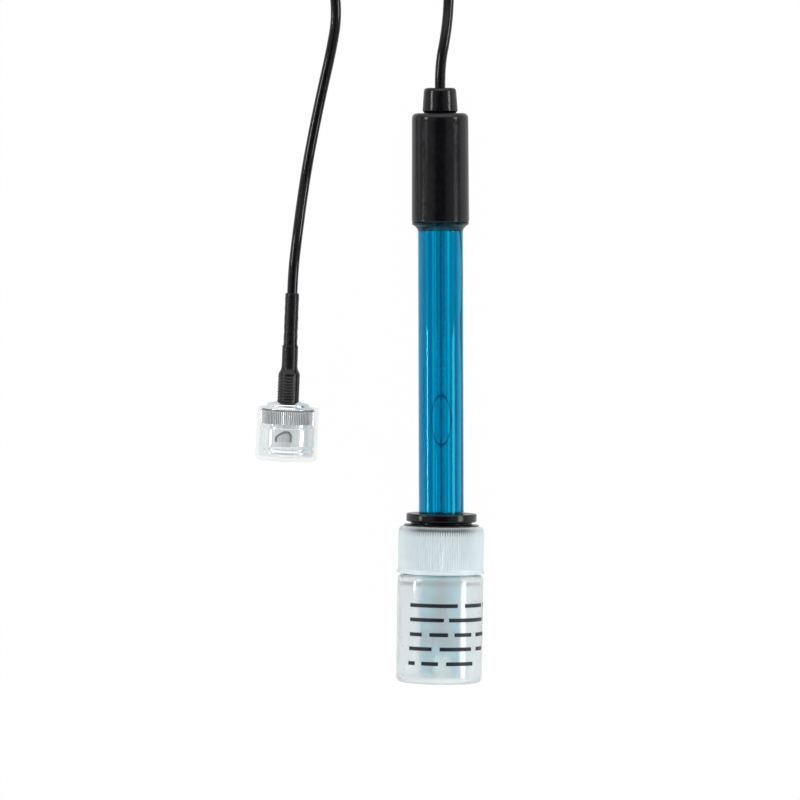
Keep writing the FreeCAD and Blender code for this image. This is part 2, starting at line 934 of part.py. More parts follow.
def make_cable_end():
    """Ferrule, shrink sleeves and the last straight piece of cord behind the plug."""
    ferrule_bore = size.tail_dia / 2 + size.seat_gap
    ferrule = turned(
        "plug_ferrule",
        [
            (ferrule_bore, ferrule_front),
            (size.ferrule_dia / 2, ferrule_front),
            (size.ferrule_dia / 2, ferrule_back),
            (ferrule_bore, ferrule_back),
        ],
    )
    shrink_in = size.ferrule_dia / 2 + size.seat_gap
    shrink_out = size.shrink_dia / 2
    wall = shrink_out - shrink_in
    step_at = shrink_front + size.shrink_step
    marker_r = size.marker_dia / 2
    neck_out = size.shrink_neck_dia / 2
    shrink = turned(
        "shrink_sleeve",
        [
            (shrink_in, shrink_front),
            (shrink_out, shrink_front),
            (shrink_out, step_at),
            (neck_out, step_at + size.shrink_slope),
            (neck_out, shrink_back),
            (marker_r + size.seat_gap, shrink_back),
            (marker_r + size.seat_gap, step_at + size.shrink_slope - wall),
            (shrink_in, ferrule_back),
        ],
    )
    cord_hole = cord_r + size.seat_gap
    marker = turned(
        "marker_sleeve",
        [
            (cord_hole, marker_front),
            (marker_r, marker_front),
            (marker_r, marker_back),
            (cord_hole, marker_back),
        ],
    )
    cord_end = rod("cord_end", cord_r, pin_back, marker_back)
    return {
        "plug_ferrule": ferrule,
        "shrink_sleeve": shrink,
        "marker_sleeve": marker,
        "cord_end": cord_end,
    }


def make_cover():
    """Clear push-on cover over the coupling nut."""
    inside = size.nut_dia / 2 + size.cover_gap
    side = inside + size.cover_wall
    end_in = -size.cover_gap
    end_out = end_in - size.cover_end
    rim = end_out + size.cover_len
    return turned(
        "plug_cover",
        [
            (AXIS, end_out),
            (side, end_out, size.cover_round),
            (side, rim),
            (inside, rim),
            (inside, end_in),
            (AXIS, end_in),
        ],
    )


def stack_pitch():
    """Dip of the stack: it rests on the head's upper edge and on the cap or its lip."""
    head_r = number(size.head_top_dia) / 2
    head_at = number(head_top - size.head_round)
    rests = (
        (number(cap_r), number(cap_top - size.cap_edge_high)),
        (number(lip_r), number(lip_low + size.lip_high)),
    )
    slopes = [((radius - head_r) / (head_at - at), radius, at) for radius, at in rests]
    slope, radius, at = max(slopes)
    pitch = math.atan(slope)
    foot_height = radius * math.cos(pitch) + at * math.sin(pitch)
    return pitch, foot_height


pitch, foot_height = stack_pitch()
half_length = number(bush_top) / 2 * math.cos(pitch)
stack = Placement(
    Vector(0, -half_length, foot_height),
    Rotation(Vector(1, 0, 0), -90 - math.degrees(pitch)),
)
pivot = stack.multVec(Vector(0, 0, number(cap_top)))
askew = Placement(Vector(), Rotation(Vector(0, 0, 1), -number(size.bottle_yaw)), pivot).multiply(stack)
plug_axis = Placement(
    Vector(number(size.plug_across), number(size.plug_along), number(cover_r)),
    Rotation(Vector(0, 0, 1), -number(size.plug_lean)).multiply(Rotation(Vector(1, 0, 0), -90)),
)


def beside(placement, across):
    """The same frame, moved across its own X."""
    return placement.multiply(Placement(Vector(number(across), 0, 0), Rotation()))


def rounded_path(points):
    """Straight runs joined by tangent arcs, each as large as its two runs allow."""
    share = 0.45
    edges = []
    radii = []
    start = points[0]
    for i in range(1, len(points) - 1):
        before = points[i] - points[i - 1]
        after = points[i + 1] - points[i]
        half_turn = before.getAngle(after) / 2
        reach = share * min(before.Length, after.Length)
        radii.append(reach / math.tan(half_turn))
        into = points[i] - before.normalize() * reach
        out = points[i] + after.normalize() * reach
        inward = (into + out) * 0.5 - points[i]
        centre = points[i] + inward.normalize() * (reach / math.sin(half_turn))
        middle = centre + (points[i] - centre).normalize() * radii[-1]
        edges.append(Part.LineSegment(start, into).toShape())
        edges.append(Part.Arc(into, middle, out).toShape())
        start = out
    edges.append(Part.LineSegment(start, points[-1]).toShape())
    return Part.Wire(edges), radii


def tube(name, points, radius):
    """A round tube along a path of runs and arcs, tested against its section times its length."""
    path, radii = rounded_path(points)
    first = points[1] - points[0]
    section = Part.Wire([Part.makeCircle(radius, points[0], first)])
    shape = path.makePipeShell([section], True, True)
    expected = math.pi * radius**2 * path.Length
    if abs(shape.Volume - expected) > 0.01 * expected:
        raise RuntimeError(f"{name} has the wrong volume")
    feature = doc.addObject("Part::Feature", name)
    feature.Shape = shape
    print(f"{name}: length {path.Length:.1f}, radii", [round(r, 1) for r in radii])
    return feature


def make_wires():
    """Reference wire with its gentle waves, and the shield's tail that joins it in the head."""
    place = number(element_place)
    wave = number(size.reference_wave)
    top = number(lead_top)
    foot = number(seal_low) - number(size.reference_len)
    straight = number(seal_low) - number(size.seal_thick)
    count = round(number(size.reference_bends))
    points = [Vector(place, 0, top), Vector(place, 0, straight)]
    for i in range(1, count):
        side = wave if i % 2 else -wave
        points.append(Vector(place - wave, side, straight + (foot - straight) * i / count))
    points.append(Vector(place, 0, foot))
    wire = tube("reference_wire", points, number(size.reference_dia) / 2)
    rise = number(cord_low) - top
    inner = number(size.shield_place)
    tail_points = [
        Vector(place, 0, top),
        Vector(place, 0, top + rise / 3),
        Vector(inner, 0, top + rise * 2 / 3),
        Vector(inner, 0, top + rise),
    ]
    tail = tube("shield_tail", tail_points, number(size.shield_dia) / 2)
    return wire, tail


def coil_place(degrees, outward, height):
    """A point beside the coil's middle, by its angle and its distance from the middle."""
    turn = math.radians(degrees)
    return Vector(
        number(size.coil_across) + outward * math.cos(turn),
        number(size.coil_along) + outward * math.sin(turn),
        height,
    )


columns = number(size.coil_columns)
outer_turn = number(size.coil_middle_dia) / 2 + (columns - 1) / 2 * number(size.cord_dia)
inner_turn = outer_turn - (columns - 1) * number(size.cord_dia)
coil_high = (number(size.coil_layers) - 1) * number(size.cord_dia)
top_layer = number(size.cord_lift) + coil_high
start_angle = number(size.coil_start)


def coil_end(degrees, height, sign):
    """Where a turn leaves the coil in a straight line, where its stub ends, and a point beyond."""
    turn = math.radians(degrees)
    touch = coil_place(degrees, outer_turn, height)
    along = Vector(-math.sin(turn), math.cos(turn), 0) * sign
    reach = touch + along * number(size.coil_stub)
    return touch, reach, reach + along * number(size.cord_straight)


def make_coil():
    """The put-away length as one ring with the two straight ends of its outer turns, and its tie."""
    radius = number(cord_r)
    slack = number(size.coil_slack)
    low = 0.0
    high = top_layer + radius + slack
    inside = inner_turn - radius - slack
    outside = outer_turn + radius + slack
    middle = coil_place(0, 0, low)
    ring = Part.makeCylinder(outside, high, middle).cut(Part.makeCylinder(inside, high, middle))
    rims = [edge for edge in ring.Edges if edge.Curve.TypeId == "Part::GeomCircle"]
    ring = ring.makeChamfer(number(size.coil_bevel), rims)
    tie_thick = number(size.tie_thick)
    tie_wide = number(size.tie_wide)
    spot = coil_place(90, inside, low)
    block = Part.makeBox(
        tie_wide, outside - inside, high, Vector(spot.x - tie_wide / 2, spot.y, low)
    )
    hole = Part.makeBox(
        tie_wide,
        outside - inside - 2 * tie_thick,
        high - 2 * tie_thick,
        Vector(spot.x - tie_wide / 2, spot.y + tie_thick, low + tie_thick),
    )
    core = Part.makeBox(
        tie_wide,
        outside - inside - 2 * tie_thick - slack,
        high - 2 * tie_thick - slack,
        Vector(spot.x - tie_wide / 2, spot.y + tie_thick + slack / 2, low + tie_thick + slack / 2),
    )
    wider = tie_thick + slack
    span = Part.makeBox(
        tie_wide,
        outside - inside + 2 * wider,
        high,
        Vector(spot.x - tie_wide / 2, spot.y - wider, low),
    )
    ring = ring.cut(span).fuse(core.common(span))
    for degrees, height, sign in (
        (-start_angle, number(size.cord_lift), -1),
        (180 + start_angle, top_layer, 1),
    ):
        touch, reach = coil_end(degrees, height, sign)[:2]
        ring = ring.fuse(Part.makeCylinder(radius, (reach - touch).Length, touch, reach - touch))
    coil = doc.addObject("Part::Feature", "cord_coil")
    coil.Shape = ring.removeSplitter()
    tie = doc.addObject("Part::Feature", "coil_tie")
    tie.Shape = block.cut(hole)
    return coil, tie


def make_cords():
    """The two stretches of cord that aren't coiled, from the bush and from the plug."""
    lift = number(size.cord_lift)
    straight = number(size.cord_straight)
    exit_point, beyond_bush = (
        stack.multVec(Vector(0, 0, number(bush_top) + more)) for more in (0, straight)
    )
    plug_end, beyond_plug = (
        plug_axis.multVec(Vector(0, 0, number(marker_back) + more)) for more in (0, straight)
    )
    coil_in, before_coil = coil_end(-start_angle, lift, -1)[1:]
    coil_out, after_coil = coil_end(180 + start_angle, top_layer, 1)[1:]
    lead_route = [
        exit_point,
        beyond_bush,
        Vector(1.5, 92.4, lift + 4.25),
        Vector(2.35, 99.6, lift + 2.05),
        before_coil,
        coil_in,
    ]
    plug_route = [
        coil_out,
        after_coil,
        Vector(-27.2, 98.3, lift + 1.45),
        Vector(-29.0, 88.2, lift + 0.15),
        Vector(-31.4, 78.0, lift),
        Vector(-33.6, 67.6, lift + 0.05),
        Vector(-35.5, 57.6, lift + 0.95),
        Vector(-37.0, 47.8, lift + 3.25),
        Vector(-38.2, 38.8, lift + 5.65),
        beyond_plug,
        plug_end,
    ]
    print("exit", exit_point, "coil in", coil_in, "coil out", coil_out, "plug end", plug_end)
    return (
        tube("cord_lead", lead_route, number(cord_r)),
        tube("cord_plug_run", plug_route, number(cord_r)),
    )


def place_all(names, placement):
    for body in names:
        body.Placement = placement


def build():
    """Make every sub-part in its own frame and set it in its place. Returns the nodes by name."""
    barrel = make_barrel()
    head = make_head()
    bush = make_bush()
    inner = make_inner_parts()
    gland, ring = make_gland()
    cap = make_cap()
    bottle = make_bottle()
    fill = make_solution()
    nut = make_nut()
    plug_parts = make_plug_parts()
    cable_end = make_cable_end()
    cover = make_cover()
    wire, tail = make_wires()

    junction = inner.pop("reference_junction")
    place_all([barrel, head, bush, wire, tail, *inner.values()], stack)
    junction.Placement = beside(stack, -element_place)
    place_all([gland, ring, cap, bottle, fill], askew)
    place_all([nut, cover, *plug_parts.values(), *cable_end.values()], plug_axis)
    doc.recompute()

    gel_block = inner.pop("gel_block")
    gel = doc.addObject("Part::Cut", "reference_gel")
    gel.Base = gel_block
    gel.Tool = wire
    level = doc.addObject("Part::Box", "below_the_surface")
    reach = size.bottle_dia * 4
    surface = size.bottle_dia - cavity_r + size.solution_depth
    for side, length in (("Length", reach), ("Width", reach), ("Height", surface)):
        level.setExpression(side, length.formula)
    corner = Vector(-number(reach) / 2, -number(reach) / 2, -number(size.bottle_dia))
    level.Placement = Placement(corner + Vector(0, -half_length, foot_height), Rotation())
    solution = doc.addObject("Part::Common", "storage_solution")
    solution.Base = fill
    solution.Tool = level
    doc.recompute()

    coil, tie = make_coil()
    lead, plug_run = make_cords()
    doc.recompute()
    nodes = [barrel, head, bush, wire, tail, junction, *inner.values(), gel]
    nodes += [gland, ring, cap, bottle, solution, nut, cover]
    nodes += [*plug_parts.values(), *cable_end.values(), coil, tie, lead, plug_run]
    return {node.Name: node for node in nodes}


def check(nodes):
    """Stop before anything is written if a feature failed or a shape isn't a sound solid."""
    for item in doc.Objects:
        if "Invalid" in item.State or "Error" in item.State:
            raise RuntimeError(f"{item.Name} failed: {item.State}")
    for name, node in nodes.items():
        node.Label = name
        shape = node.Shape
        if shape.isNull() or not shape.isValid() or not shape.Solids:
            raise RuntimeError(f"{name} has no sound shape")


nodes = build()
check(nodes)
os.makedirs("parts", exist_ok=True)
for name, node in nodes.items():
    node.Shape.exportStep(f"parts/{name}.step")
print(len(nodes), "sub-parts written")
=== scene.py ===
"""Visual model of the redox electrode. Pieces are modelled upright in millimetres, then set in place."""
import json
import math

import bmesh
import bpy
from mathutils import Euler, Matrix, Vector


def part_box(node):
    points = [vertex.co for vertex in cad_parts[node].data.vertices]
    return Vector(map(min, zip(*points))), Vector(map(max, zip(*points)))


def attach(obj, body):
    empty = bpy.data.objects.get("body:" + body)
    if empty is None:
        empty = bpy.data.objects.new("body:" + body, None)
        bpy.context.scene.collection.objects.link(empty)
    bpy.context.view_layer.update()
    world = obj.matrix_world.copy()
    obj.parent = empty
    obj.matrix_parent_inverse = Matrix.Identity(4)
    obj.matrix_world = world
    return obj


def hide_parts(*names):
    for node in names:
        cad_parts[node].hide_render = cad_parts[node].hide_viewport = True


MM = 0.001
SIDES = 128

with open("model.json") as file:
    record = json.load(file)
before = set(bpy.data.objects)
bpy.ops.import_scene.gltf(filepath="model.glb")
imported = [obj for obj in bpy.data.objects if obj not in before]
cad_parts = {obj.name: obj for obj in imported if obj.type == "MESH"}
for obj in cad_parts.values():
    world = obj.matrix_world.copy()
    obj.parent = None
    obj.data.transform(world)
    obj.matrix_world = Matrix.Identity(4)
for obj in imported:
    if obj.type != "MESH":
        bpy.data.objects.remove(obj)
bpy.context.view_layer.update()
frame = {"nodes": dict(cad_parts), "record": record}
nodes = frame["nodes"]

# Heights along the electrode, in millimetres from the underside of its bottle
TIP = 2.3
GUARD_TOP = 10.3
COLLAR = 122.3
SPIGOT_TOP = 131.3
HEAD_TOP = 151.4
HEAD_INSIDE = 148.9
BUSH_TOP = 158.1
BOTTLE_TOP = 28.8
LIP_LOW = 29.1
MOUTH = 37.0
GLAND_LOW = 38.6
PLATE_LOW = 40.1
CAP_TOP = 41.7
GLAND_SEAT = 42.8
GLAND_TOP = 45.0
OVAL_MID = 70.0

BARREL_R = 6.0
BARREL_SIDES = 256
BORE_R = 4.9
COLLAR_R = 7.6
HEAD_R = 7.625

DIP = 2.034169
FOOT = 12.8125
HALF_LENGTH = 79.0002
BOTTLE_YAW = 1.1
PLUG_PLACE = (-41.25, -18.7, 8.17)
PLUG_LEAN = 2.4


def turn(degrees, axis):
    return Matrix.Rotation(math.radians(degrees), 4, axis)


STACK = Matrix.Translation(Vector((0, -HALF_LENGTH, FOOT)) * MM) @ turn(-90 - DIP, "X")
PIVOT = STACK @ Vector((0, 0, CAP_TOP * MM))
ASKEW = Matrix.Translation(PIVOT) @ turn(-BOTTLE_YAW, "Z") @ Matrix.Translation(-PIVOT) @ STACK
PLUG = Matrix.Translation(Vector(PLUG_PLACE) * MM) @ turn(-PLUG_LEAN, "Z") @ turn(-90, "X")


# Modelling

def fresh(add, **values):
    """Add a primitive with nothing else selected."""
    bpy.ops.object.select_all(action="DESELECT")
    add(**values)
    return bpy.context.object


def pick(piece):
    """Make a piece the active one, with nothing else selected."""
    bpy.ops.object.select_all(action="DESELECT")
    bpy.context.view_layer.objects.active = piece
    piece.select_set(True)


def edit_all(piece):
    """Edit one piece alone, with all of it selected."""
    edit(piece)
    bpy.ops.mesh.select_all(action="SELECT")


def edit(piece):
    """Edit one piece alone, with nothing in it selected."""
    pick(piece)
    bpy.ops.object.mode_set(mode="EDIT")
    bpy.ops.mesh.select_all(action="DESELECT")


def done():
    bpy.ops.object.mode_set(mode="OBJECT")


def select(piece, wanted, kind="VERT"):
    """Select the piece's vertices or faces that pass a test of their place."""
    bpy.ops.mesh.select_mode(type=kind)
    mesh = bmesh.from_edit_mesh(piece.data)
    mesh.verts.ensure_lookup_table()
    mesh.faces.ensure_lookup_table()
    for item in mesh.verts if kind == "VERT" else mesh.faces:
        item.select_set(wanted(item))
    mesh.select_flush_mode()
    bmesh.update_edit_mesh(piece.data)


def corner_steps(before, corner, after, radius, steps):
    """Points of a rounded corner between two straight runs of a section."""
    here = Vector(corner[:2])
    into = here + (Vector(before[:2]) - here).normalized() * radius
    out = here + (Vector(after[:2]) - here).normalized() * radius
    points = []
    for i in range(steps + 1):
        t = i / steps
        points.append(into * (1 - t) ** 2 + here * 2 * t * (1 - t) + out * t ** 2)
    return [tuple(p) for p in points]


def beside(end, neighbour):
    """A point on a long straight run just beside a rounded corner, so the run shades as flat."""
    along = Vector(neighbour[:2]) - Vector(end)
    if along.length < 4.5:
        return []
    return [tuple(Vector(end) + along.normalized() * 0.3)]


def section_points(section, closed, steps):
    """A section's points. A corner's third value is the radius that rounds it."""
    points = []
    total = len(section)
    for i, corner in enumerate(section):
        inner = closed or 0 < i < total - 1
        if len(corner) == 3 and inner:
            around = section[i - 1], section[(i + 1) % total]
            rounded = corner_steps(around[0], corner, around[1], corner[2], steps)
            points += beside(rounded[0], around[0]) + rounded
            points += reversed(beside(rounded[-1], around[1]))
        else:
            points.append(tuple(corner[:2]))
    return points


def turned(name, section, sides=SIDES, closed=True, steps=5):
    """Turn a section of (radius, height) about Z, ring after ring. A radius of 0 is a pole."""
    points = section_points(section, closed, steps)
    starts_on_axis = points[0][0] < 1e-6
    if starts_on_axis:
        low = points[0]
        points = points[1:]
    piece = fresh(bpy.ops.mesh.primitive_circle_add, vertices=sides, radius=points[0][0])
    piece.name = name
    edit_all(piece)
    bpy.ops.transform.translate(value=(0, 0, points[0][1]))
    radius, height = points[0]
    for to_radius, to_height in points[1:]:
        bpy.ops.mesh.extrude_edges_move(
            TRANSFORM_OT_translate={"value": (0, 0, to_height - height)}
        )
        if to_radius < 1e-6:
            bpy.ops.mesh.merge(type="CENTER")
            break
        scale = to_radius / radius
        bpy.ops.transform.resize(value=(scale, scale, 1), center_override=(0, 0, to_height))
        radius, height = to_radius, to_height
    if starts_on_axis:
        select(piece, lambda v: v.index < sides)
        bpy.ops.mesh.select_mode(type="EDGE")
        bpy.ops.mesh.extrude_edges_move(
            TRANSFORM_OT_translate={"value": (0, 0, low[1] - points[0][1])}
        )
        bpy.ops.mesh.merge(type="CENTER")
    elif closed and points[-1][0] > 1e-6:
        total = len(bmesh.from_edit_mesh(piece.data).verts)
        select(piece, lambda v: v.index < sides or v.index >= total - sides)
        bpy.ops.mesh.select_mode(type="EDGE")
        bpy.ops.mesh.bridge_edge_loops()
    face_outwards()
    done()
    return piece


def apply_modifiers(piece):
    pick(piece)
    for modifier in list(piece.modifiers):
        bpy.ops.object.modifier_apply(modifier=modifier.name)


def set_in_place(piece, place, smooth=40):
    """Smooth a piece that was modelled in millimetres and move its mesh to its place."""
    pick(piece)
    if smooth:
        bpy.ops.object.shade_smooth_by_angle(angle=math.radians(smooth))
    piece.matrix_world = place @ Matrix.Scale(MM, 4)
    bpy.ops.object.transform_apply(location=True, rotation=True, scale=True)
    return piece


def join(pieces):
    bpy.ops.object.select_all(action="DESELECT")
    for piece in pieces:
        piece.select_set(True)
    bpy.context.view_layer.objects.active = pieces[0]
    bpy.ops.object.join()
    return pieces[0]


def finish_piece(piece, material, slot, body, *stands_for):
    """Give a piece its finish, its body and the CAD nodes that it stands for."""
    piece.data.materials.clear()
    piece.data.materials.append(material)
    return carry(piece, slot, body, *stands_for)


def carry(piece, slot, body, *stands_for):
    """Let a piece ride on a body, with the CAD nodes that it stands for. Its slot is not used."""
    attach(piece, body)
    if stands_for:
        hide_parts(*stands_for)
    return piece


# Materials

def new_material(name, colour, roughness=0.4, **sockets):
    """A Principled material. Keywords name its sockets, with _ for a space."""
    material = bpy.data.materials.new(name)
    material.use_nodes = True
    shader = shader_of(material)
    shader.inputs["Base Color"].default_value = (*colour, 1)
    shader.inputs["Roughness"].default_value = roughness
    for socket, value in sockets.items():
        shader.inputs[socket.replace("_", " ")].default_value = value
    return material


def node(material, kind, **values):
    made = material.node_tree.nodes.new(kind)
    for key, value in values.items():
        if key in made.inputs:
            made.inputs[key].default_value = value
        else:
            setattr(made, key, value)
    return made


def link(material, out, into):
    material.node_tree.links.new(out, into)


def place_in(material, place=None, stretch=(1, 1, 1)):
    """Object coordinates, set upright along a piece's own axis where its place is given."""
    coordinates = node(material, "ShaderNodeTexCoord")
    mapping = node(material, "ShaderNodeMapping")
    if place is not None:
        turned_back = place.inverted()
        mapping.inputs["Location"].default_value = turned_back.to_translation()
        mapping.inputs["Rotation"].default_value = turned_back.to_euler("XYZ")
        if stretch != (1, 1, 1):
            second = node(material, "ShaderNodeMapping", Scale=stretch)
            link(material, coordinates.outputs["Object"], mapping.inputs["Vector"])
            link(material, mapping.outputs["Vector"], second.inputs["Vector"])
            return second.outputs["Vector"]
    else:
        mapping.inputs["Scale"].default_value = stretch
    link(material, coordinates.outputs["Object"], mapping.inputs["Vector"])
    return mapping.outputs["Vector"]


def parts_of(material, vector):
    split = node(material, "ShaderNodeSeparateXYZ")
    link(material, vector, split.inputs[0])
    return split.outputs


def plain_size(material, value):
    """A value without its sign."""
    made = node(material, "ShaderNodeMath", operation="ABSOLUTE")
    link(material, value, made.inputs[0])
    return made.outputs[0]


def combine(material, operation, first, second):
    """A sum, product or the like of a value with another, or with a plain number."""
    made = node(material, "ShaderNodeMath", operation=operation)
    link(material, first, made.inputs[0])
    if isinstance(second, float):
        made.inputs[1].default_value = second
    else:
        link(material, second, made.inputs[1])
    return made.outputs[0]


def noise(material, vector, scale, detail=3.0):
    made = node(material, "ShaderNodeTexNoise", Scale=scale, Detail=detail)
    link(material, vector, made.inputs["Vector"])
    return made.outputs["Fac"]


def spread(material, value, low, high, from_low=0.3, from_high=0.7):
    """Map a pattern to a range."""
    made = node(material, "ShaderNodeMapRange")
    made.inputs["From Min"].default_value = from_low
    made.inputs["From Max"].default_value = from_high
    made.inputs["To Min"].default_value = low
    made.inputs["To Max"].default_value = high
    link(material, value, made.inputs["Value"])
    return made.outputs["Result"]


def tint(material, value, first, second):
    """A colour that runs from the first to the second with a pattern."""
    made = node(material, "ShaderNodeMix", data_type="RGBA")
    made.inputs[6].default_value = (*first, 1)
    made.inputs[7].default_value = (*second, 1)
    link(material, value, made.inputs[0])
    return made.outputs[2]


def over(material, value, under, colour):
    """A linked colour that runs to a plain one with a pattern."""
    mixed = tint(material, value, (0, 0, 0), colour)
    link(material, under, mixed.node.inputs[6])
    return mixed


def node_named(material, name):
    return material.node_tree.nodes[name]


def shader_of(material):
    return node_named(material, "Principled BSDF")


def bump(material, height, distance, strength=1.0):
    made = node(material, "ShaderNodeBump", Strength=strength, Distance=distance)
    link(material, height, made.inputs["Height"])
    link(material, made.outputs["Normal"], shader_of(material).inputs["Normal"])
    return made


def worn(material, vector, first, second, rough, scale=900, grain=4000, depth=0.00002):
    """Colour and roughness that vary gently, with a fine surface grain."""
    broad = noise(material, vector, scale)
    shader = shader_of(material)
    if first is not None:
        link(material, tint(material, spread(material, broad, 0, 1), first, second),
             shader.inputs["Base Color"])
    link(material, spread(material, broad, *rough), shader.inputs["Roughness"])
    if depth:
        bump(material, noise(material, vector, grain, 2.0), depth)
    return material


def tinted_clear(name, colour, rough, ior, shine=(1, 1, 1), place=STACK):
    """Clear plastic or glass that tints what is seen through it, with faint moulding streaks."""
    material = new_material(
        name, colour, rough[0], Transmission_Weight=1.0, IOR=ior, Specular_Tint=(*shine, 1)
    )
    streaks = noise(material, place_in(material, place, (1, 1, 0.06)), 1400)
    deeper = tuple(c * 0.9 for c in colour)
    shader = shader_of(material)
    link(material, tint(material, spread(material, streaks, 0, 1), colour, deeper),
         shader.inputs["Base Color"])
    link(material, spread(material, streaks, *rough), shader.inputs["Roughness"])
    return material


CAP_COLOUR = (0.90, 0.985, 1.0)


def black_material(name, place, dark, light, rough):
    material = new_material(name, dark, 0.2, Specular_IOR_Level=0.32)
    vector = place_in(material, place)
    return worn(material, vector, dark, light, rough)


def milky_material(name, place, clear, colour, rough):
    material = new_material(
        name, colour, rough, Transmission_Weight=clear, IOR=1.3,
        Coat_Weight=1.0, Coat_Roughness=0.03,
    )
    vector = place_in(material, place)
    broad = noise(material, vector, 260)
    shader = shader_of(material)
    link(material, spread(material, broad, rough * 0.9, rough * 1.1), shader.inputs["Roughness"])
    bump(material, noise(material, vector, 500, 2.0), 0.00004, 0.5)
    return material


def cap_painted_shade(material):
    """The cap's colour with painted shade: darker in the valleys of its ribs near its top and towards
    its middle, where the black gland lies behind.
    """
    reach, aside, along = reach_of(material, ASKEW)
    rise = spread(material, along, 0, 1, 39.2 * MM, 40.6 * MM)
    fade = spread(material, along, 1, 0.4, 41.0 * MM, 41.6 * MM)
    valley = spread(material, reach, 1, 0.12, 11.15 * MM, 11.33 * MM)
    middle = spread(material, aside, 1, 0.3, 6.0 * MM, 9.5 * MM)
    # Painted shade, strongest near the top, in the rib valleys and towards the middle
    dark = combine(material, "MULTIPLY", rise, fade)
    dark = combine(material, "MULTIPLY", dark, valley)
    dark = combine(material, "MULTIPLY", dark, middle)
    return tint(material, dark, CAP_COLOUR, (0.08, 0.10, 0.11))


# Millimetres across the barrel, and how pale its painted tint is there: bands of painted light and shade
# where light is bent through the barrel and its stem
PAINTED_BANDS = (
    (-6.0, 0.12), (-5.2, 0.12), (-4.2, 0.071), (-3.7, 0.33), (-3.2, 0.06), (-2.6, 0.039), (-2.25, 0.14),
    (-1.9, 1), (-1.4, 1), (-1.1, 1), (-0.8, 0.62), (-0.4, 0.32), (0.2, 0.12), (0.6, 0.33),
    (1.1, 1), (1.5, 1), (1.9, 1), (2.3, 0.21), (2.7, 0.058), (3.3, 0.18), (3.9, 0.062),
    (4.5, 0.12), (5.0, 0.39), (5.5, 0.05),
)


def painted_light_bands(material, deep, pale, wash):
    """Painted light and shade: tint in bands along the barrel's upper side, washed out below, at its
    edges and towards its tip, and darkened by its collar.
    """
    across, depth, along = parts_of(material, place_in(material, STACK))
    place = spread(material, across, 0, 1, -BARREL_R * MM, BARREL_R * MM)
    streaks = noise(material, place_in(material, STACK, (1, 1, 0.04)), 1500)
    shift = spread(material, streaks, -0.01, 0.01, 0.2, 0.8)
    ramp = node(material, "ShaderNodeValToRGB")
    link(material, combine(material, "ADD", place, shift), ramp.inputs[0])
    stops = ramp.color_ramp.elements
    while len(stops) < len(PAINTED_BANDS):
        stops.new(0.5)
    for stop, (middle, share) in zip(stops, PAINTED_BANDS):
        stop.position = middle / (2 * BARREL_R) + 0.5
        stop.color = (share, share, share, 1)
    body = tint(material, ramp.outputs["Color"], deep, pale)
    aside = plain_size(material, across)
    # Painted light: the underside, the edges and the part towards the tip are washed paler
    below = combine(
        material, "MULTIPLY",
        spread(material, depth, 0, 1, -0.2 * MM, 0.2 * MM),
        spread(material, aside, 1, 0, 2.4 * MM, 3.0 * MM),
    )
    edge = spread(material, aside, 0, 1, 5.75 * MM, 5.85 * MM)
    tip = spread(material, along, 0.45, 0, 26 * MM, 44 * MM)
    paler = combine(material, "MAXIMUM", combine(material, "MAXIMUM", below, edge), tip)
    washed = over(material, paler, body, wash)
    # Painted shade: darker where the barrel meets its collar
    foot = spread(material, along, 0, 1, (COLLAR - 1.9) * MM, (COLLAR - 1.0) * MM)
    return multiply(material, washed, tint(material, foot, (1, 1, 1), (0.1, 0.12, 0.14)))


def multiply(material, first, second):
    made = node(material, "ShaderNodeMix", data_type="RGBA", blend_type="MULTIPLY")
    made.inputs[0].default_value = 1.0
    link(material, first, made.inputs[6])
    link(material, second, made.inputs[7])
    return made.outputs[2]


def reach_of(material, place):
    """How far a point is from the axis of its place, how far aside, and how far along it."""
    vector = place_in(material, place)
    flat = node(material, "ShaderNodeVectorMath", operation="MULTIPLY")
    link(material, vector, flat.inputs[0])
    flat.inputs[1].default_value = (1, 1, 0)
    reach = node(material, "ShaderNodeVectorMath", operation="LENGTH")
    link(material, flat.outputs["Vector"], reach.inputs[0])
    across, _, along = parts_of(material, vector)
    return reach.outputs["Value"], plain_size(material, across), along


def nut_metal():
    """Bright nickel with painted shade in the valleys of the knurl."""
    bright = (0.92, 0.95, 0.96)
    material = new_material("nut_nickel", bright, 0.1, Metallic=0.5)
    reach, _, along = reach_of(material, PLUG)
    valley = spread(material, reach, 1, 0, 7.0 * MM, 7.14 * MM)
    behind = spread(material, along, 0, 1, 8.6 * MM, 8.7 * MM)
    shader = shader_of(material)
    # Painted shade: the valleys of the knurl are darkened
    knurl_shade = combine(material, "MULTIPLY", valley, behind)
    link(material, tint(material, knurl_shade, bright, (0.06, 0.065, 0.07)), shader.inputs["Base Color"])
    grain = noise(material, place_in(material, PLUG, (1, 1, 0.3)), 3000)
    link(material, spread(material, grain, 0.06, 0.14), shader.inputs["Roughness"])
    return material


def soft_clear(name, place, colour, share):
    """Thin clear plastic that clouds what is behind it, with fine lines along it."""
    material = new_material(name, colour, 0.3, Alpha=share, IOR=1.45)
    lines = noise(material, place_in(material, place, (1, 1, 0.02)), 2600, 2.0)
    shader = shader_of(material)
    link(material, spread(material, lines, share * 0.7, share * 1.4), shader.inputs["Alpha"])
    link(material, spread(material, lines, 0.22, 0.4), shader.inputs["Roughness"])
    bump(material, lines, 0.00003, 0.6)
    return material


def thin_veil(name, colour, share):
    """A filling that is hardly seen: its wall bends the light, and it only clouds it a little."""
    material = new_material(name, colour, 0.5, Alpha=share)
    cloud = noise(material, place_in(material, STACK), 300)
    link(material, spread(material, cloud, share * 0.6, share * 1.4),
         shader_of(material).inputs["Alpha"])
    return material


def metal(name, place, dark, light, rough):
    material = new_material(name, light, rough[0], Metallic=1.0)
    vector = place_in(material, place, (1, 1, 8))
    return worn(material, vector, dark, light, rough, scale=500, grain=2500, depth=0.000006)


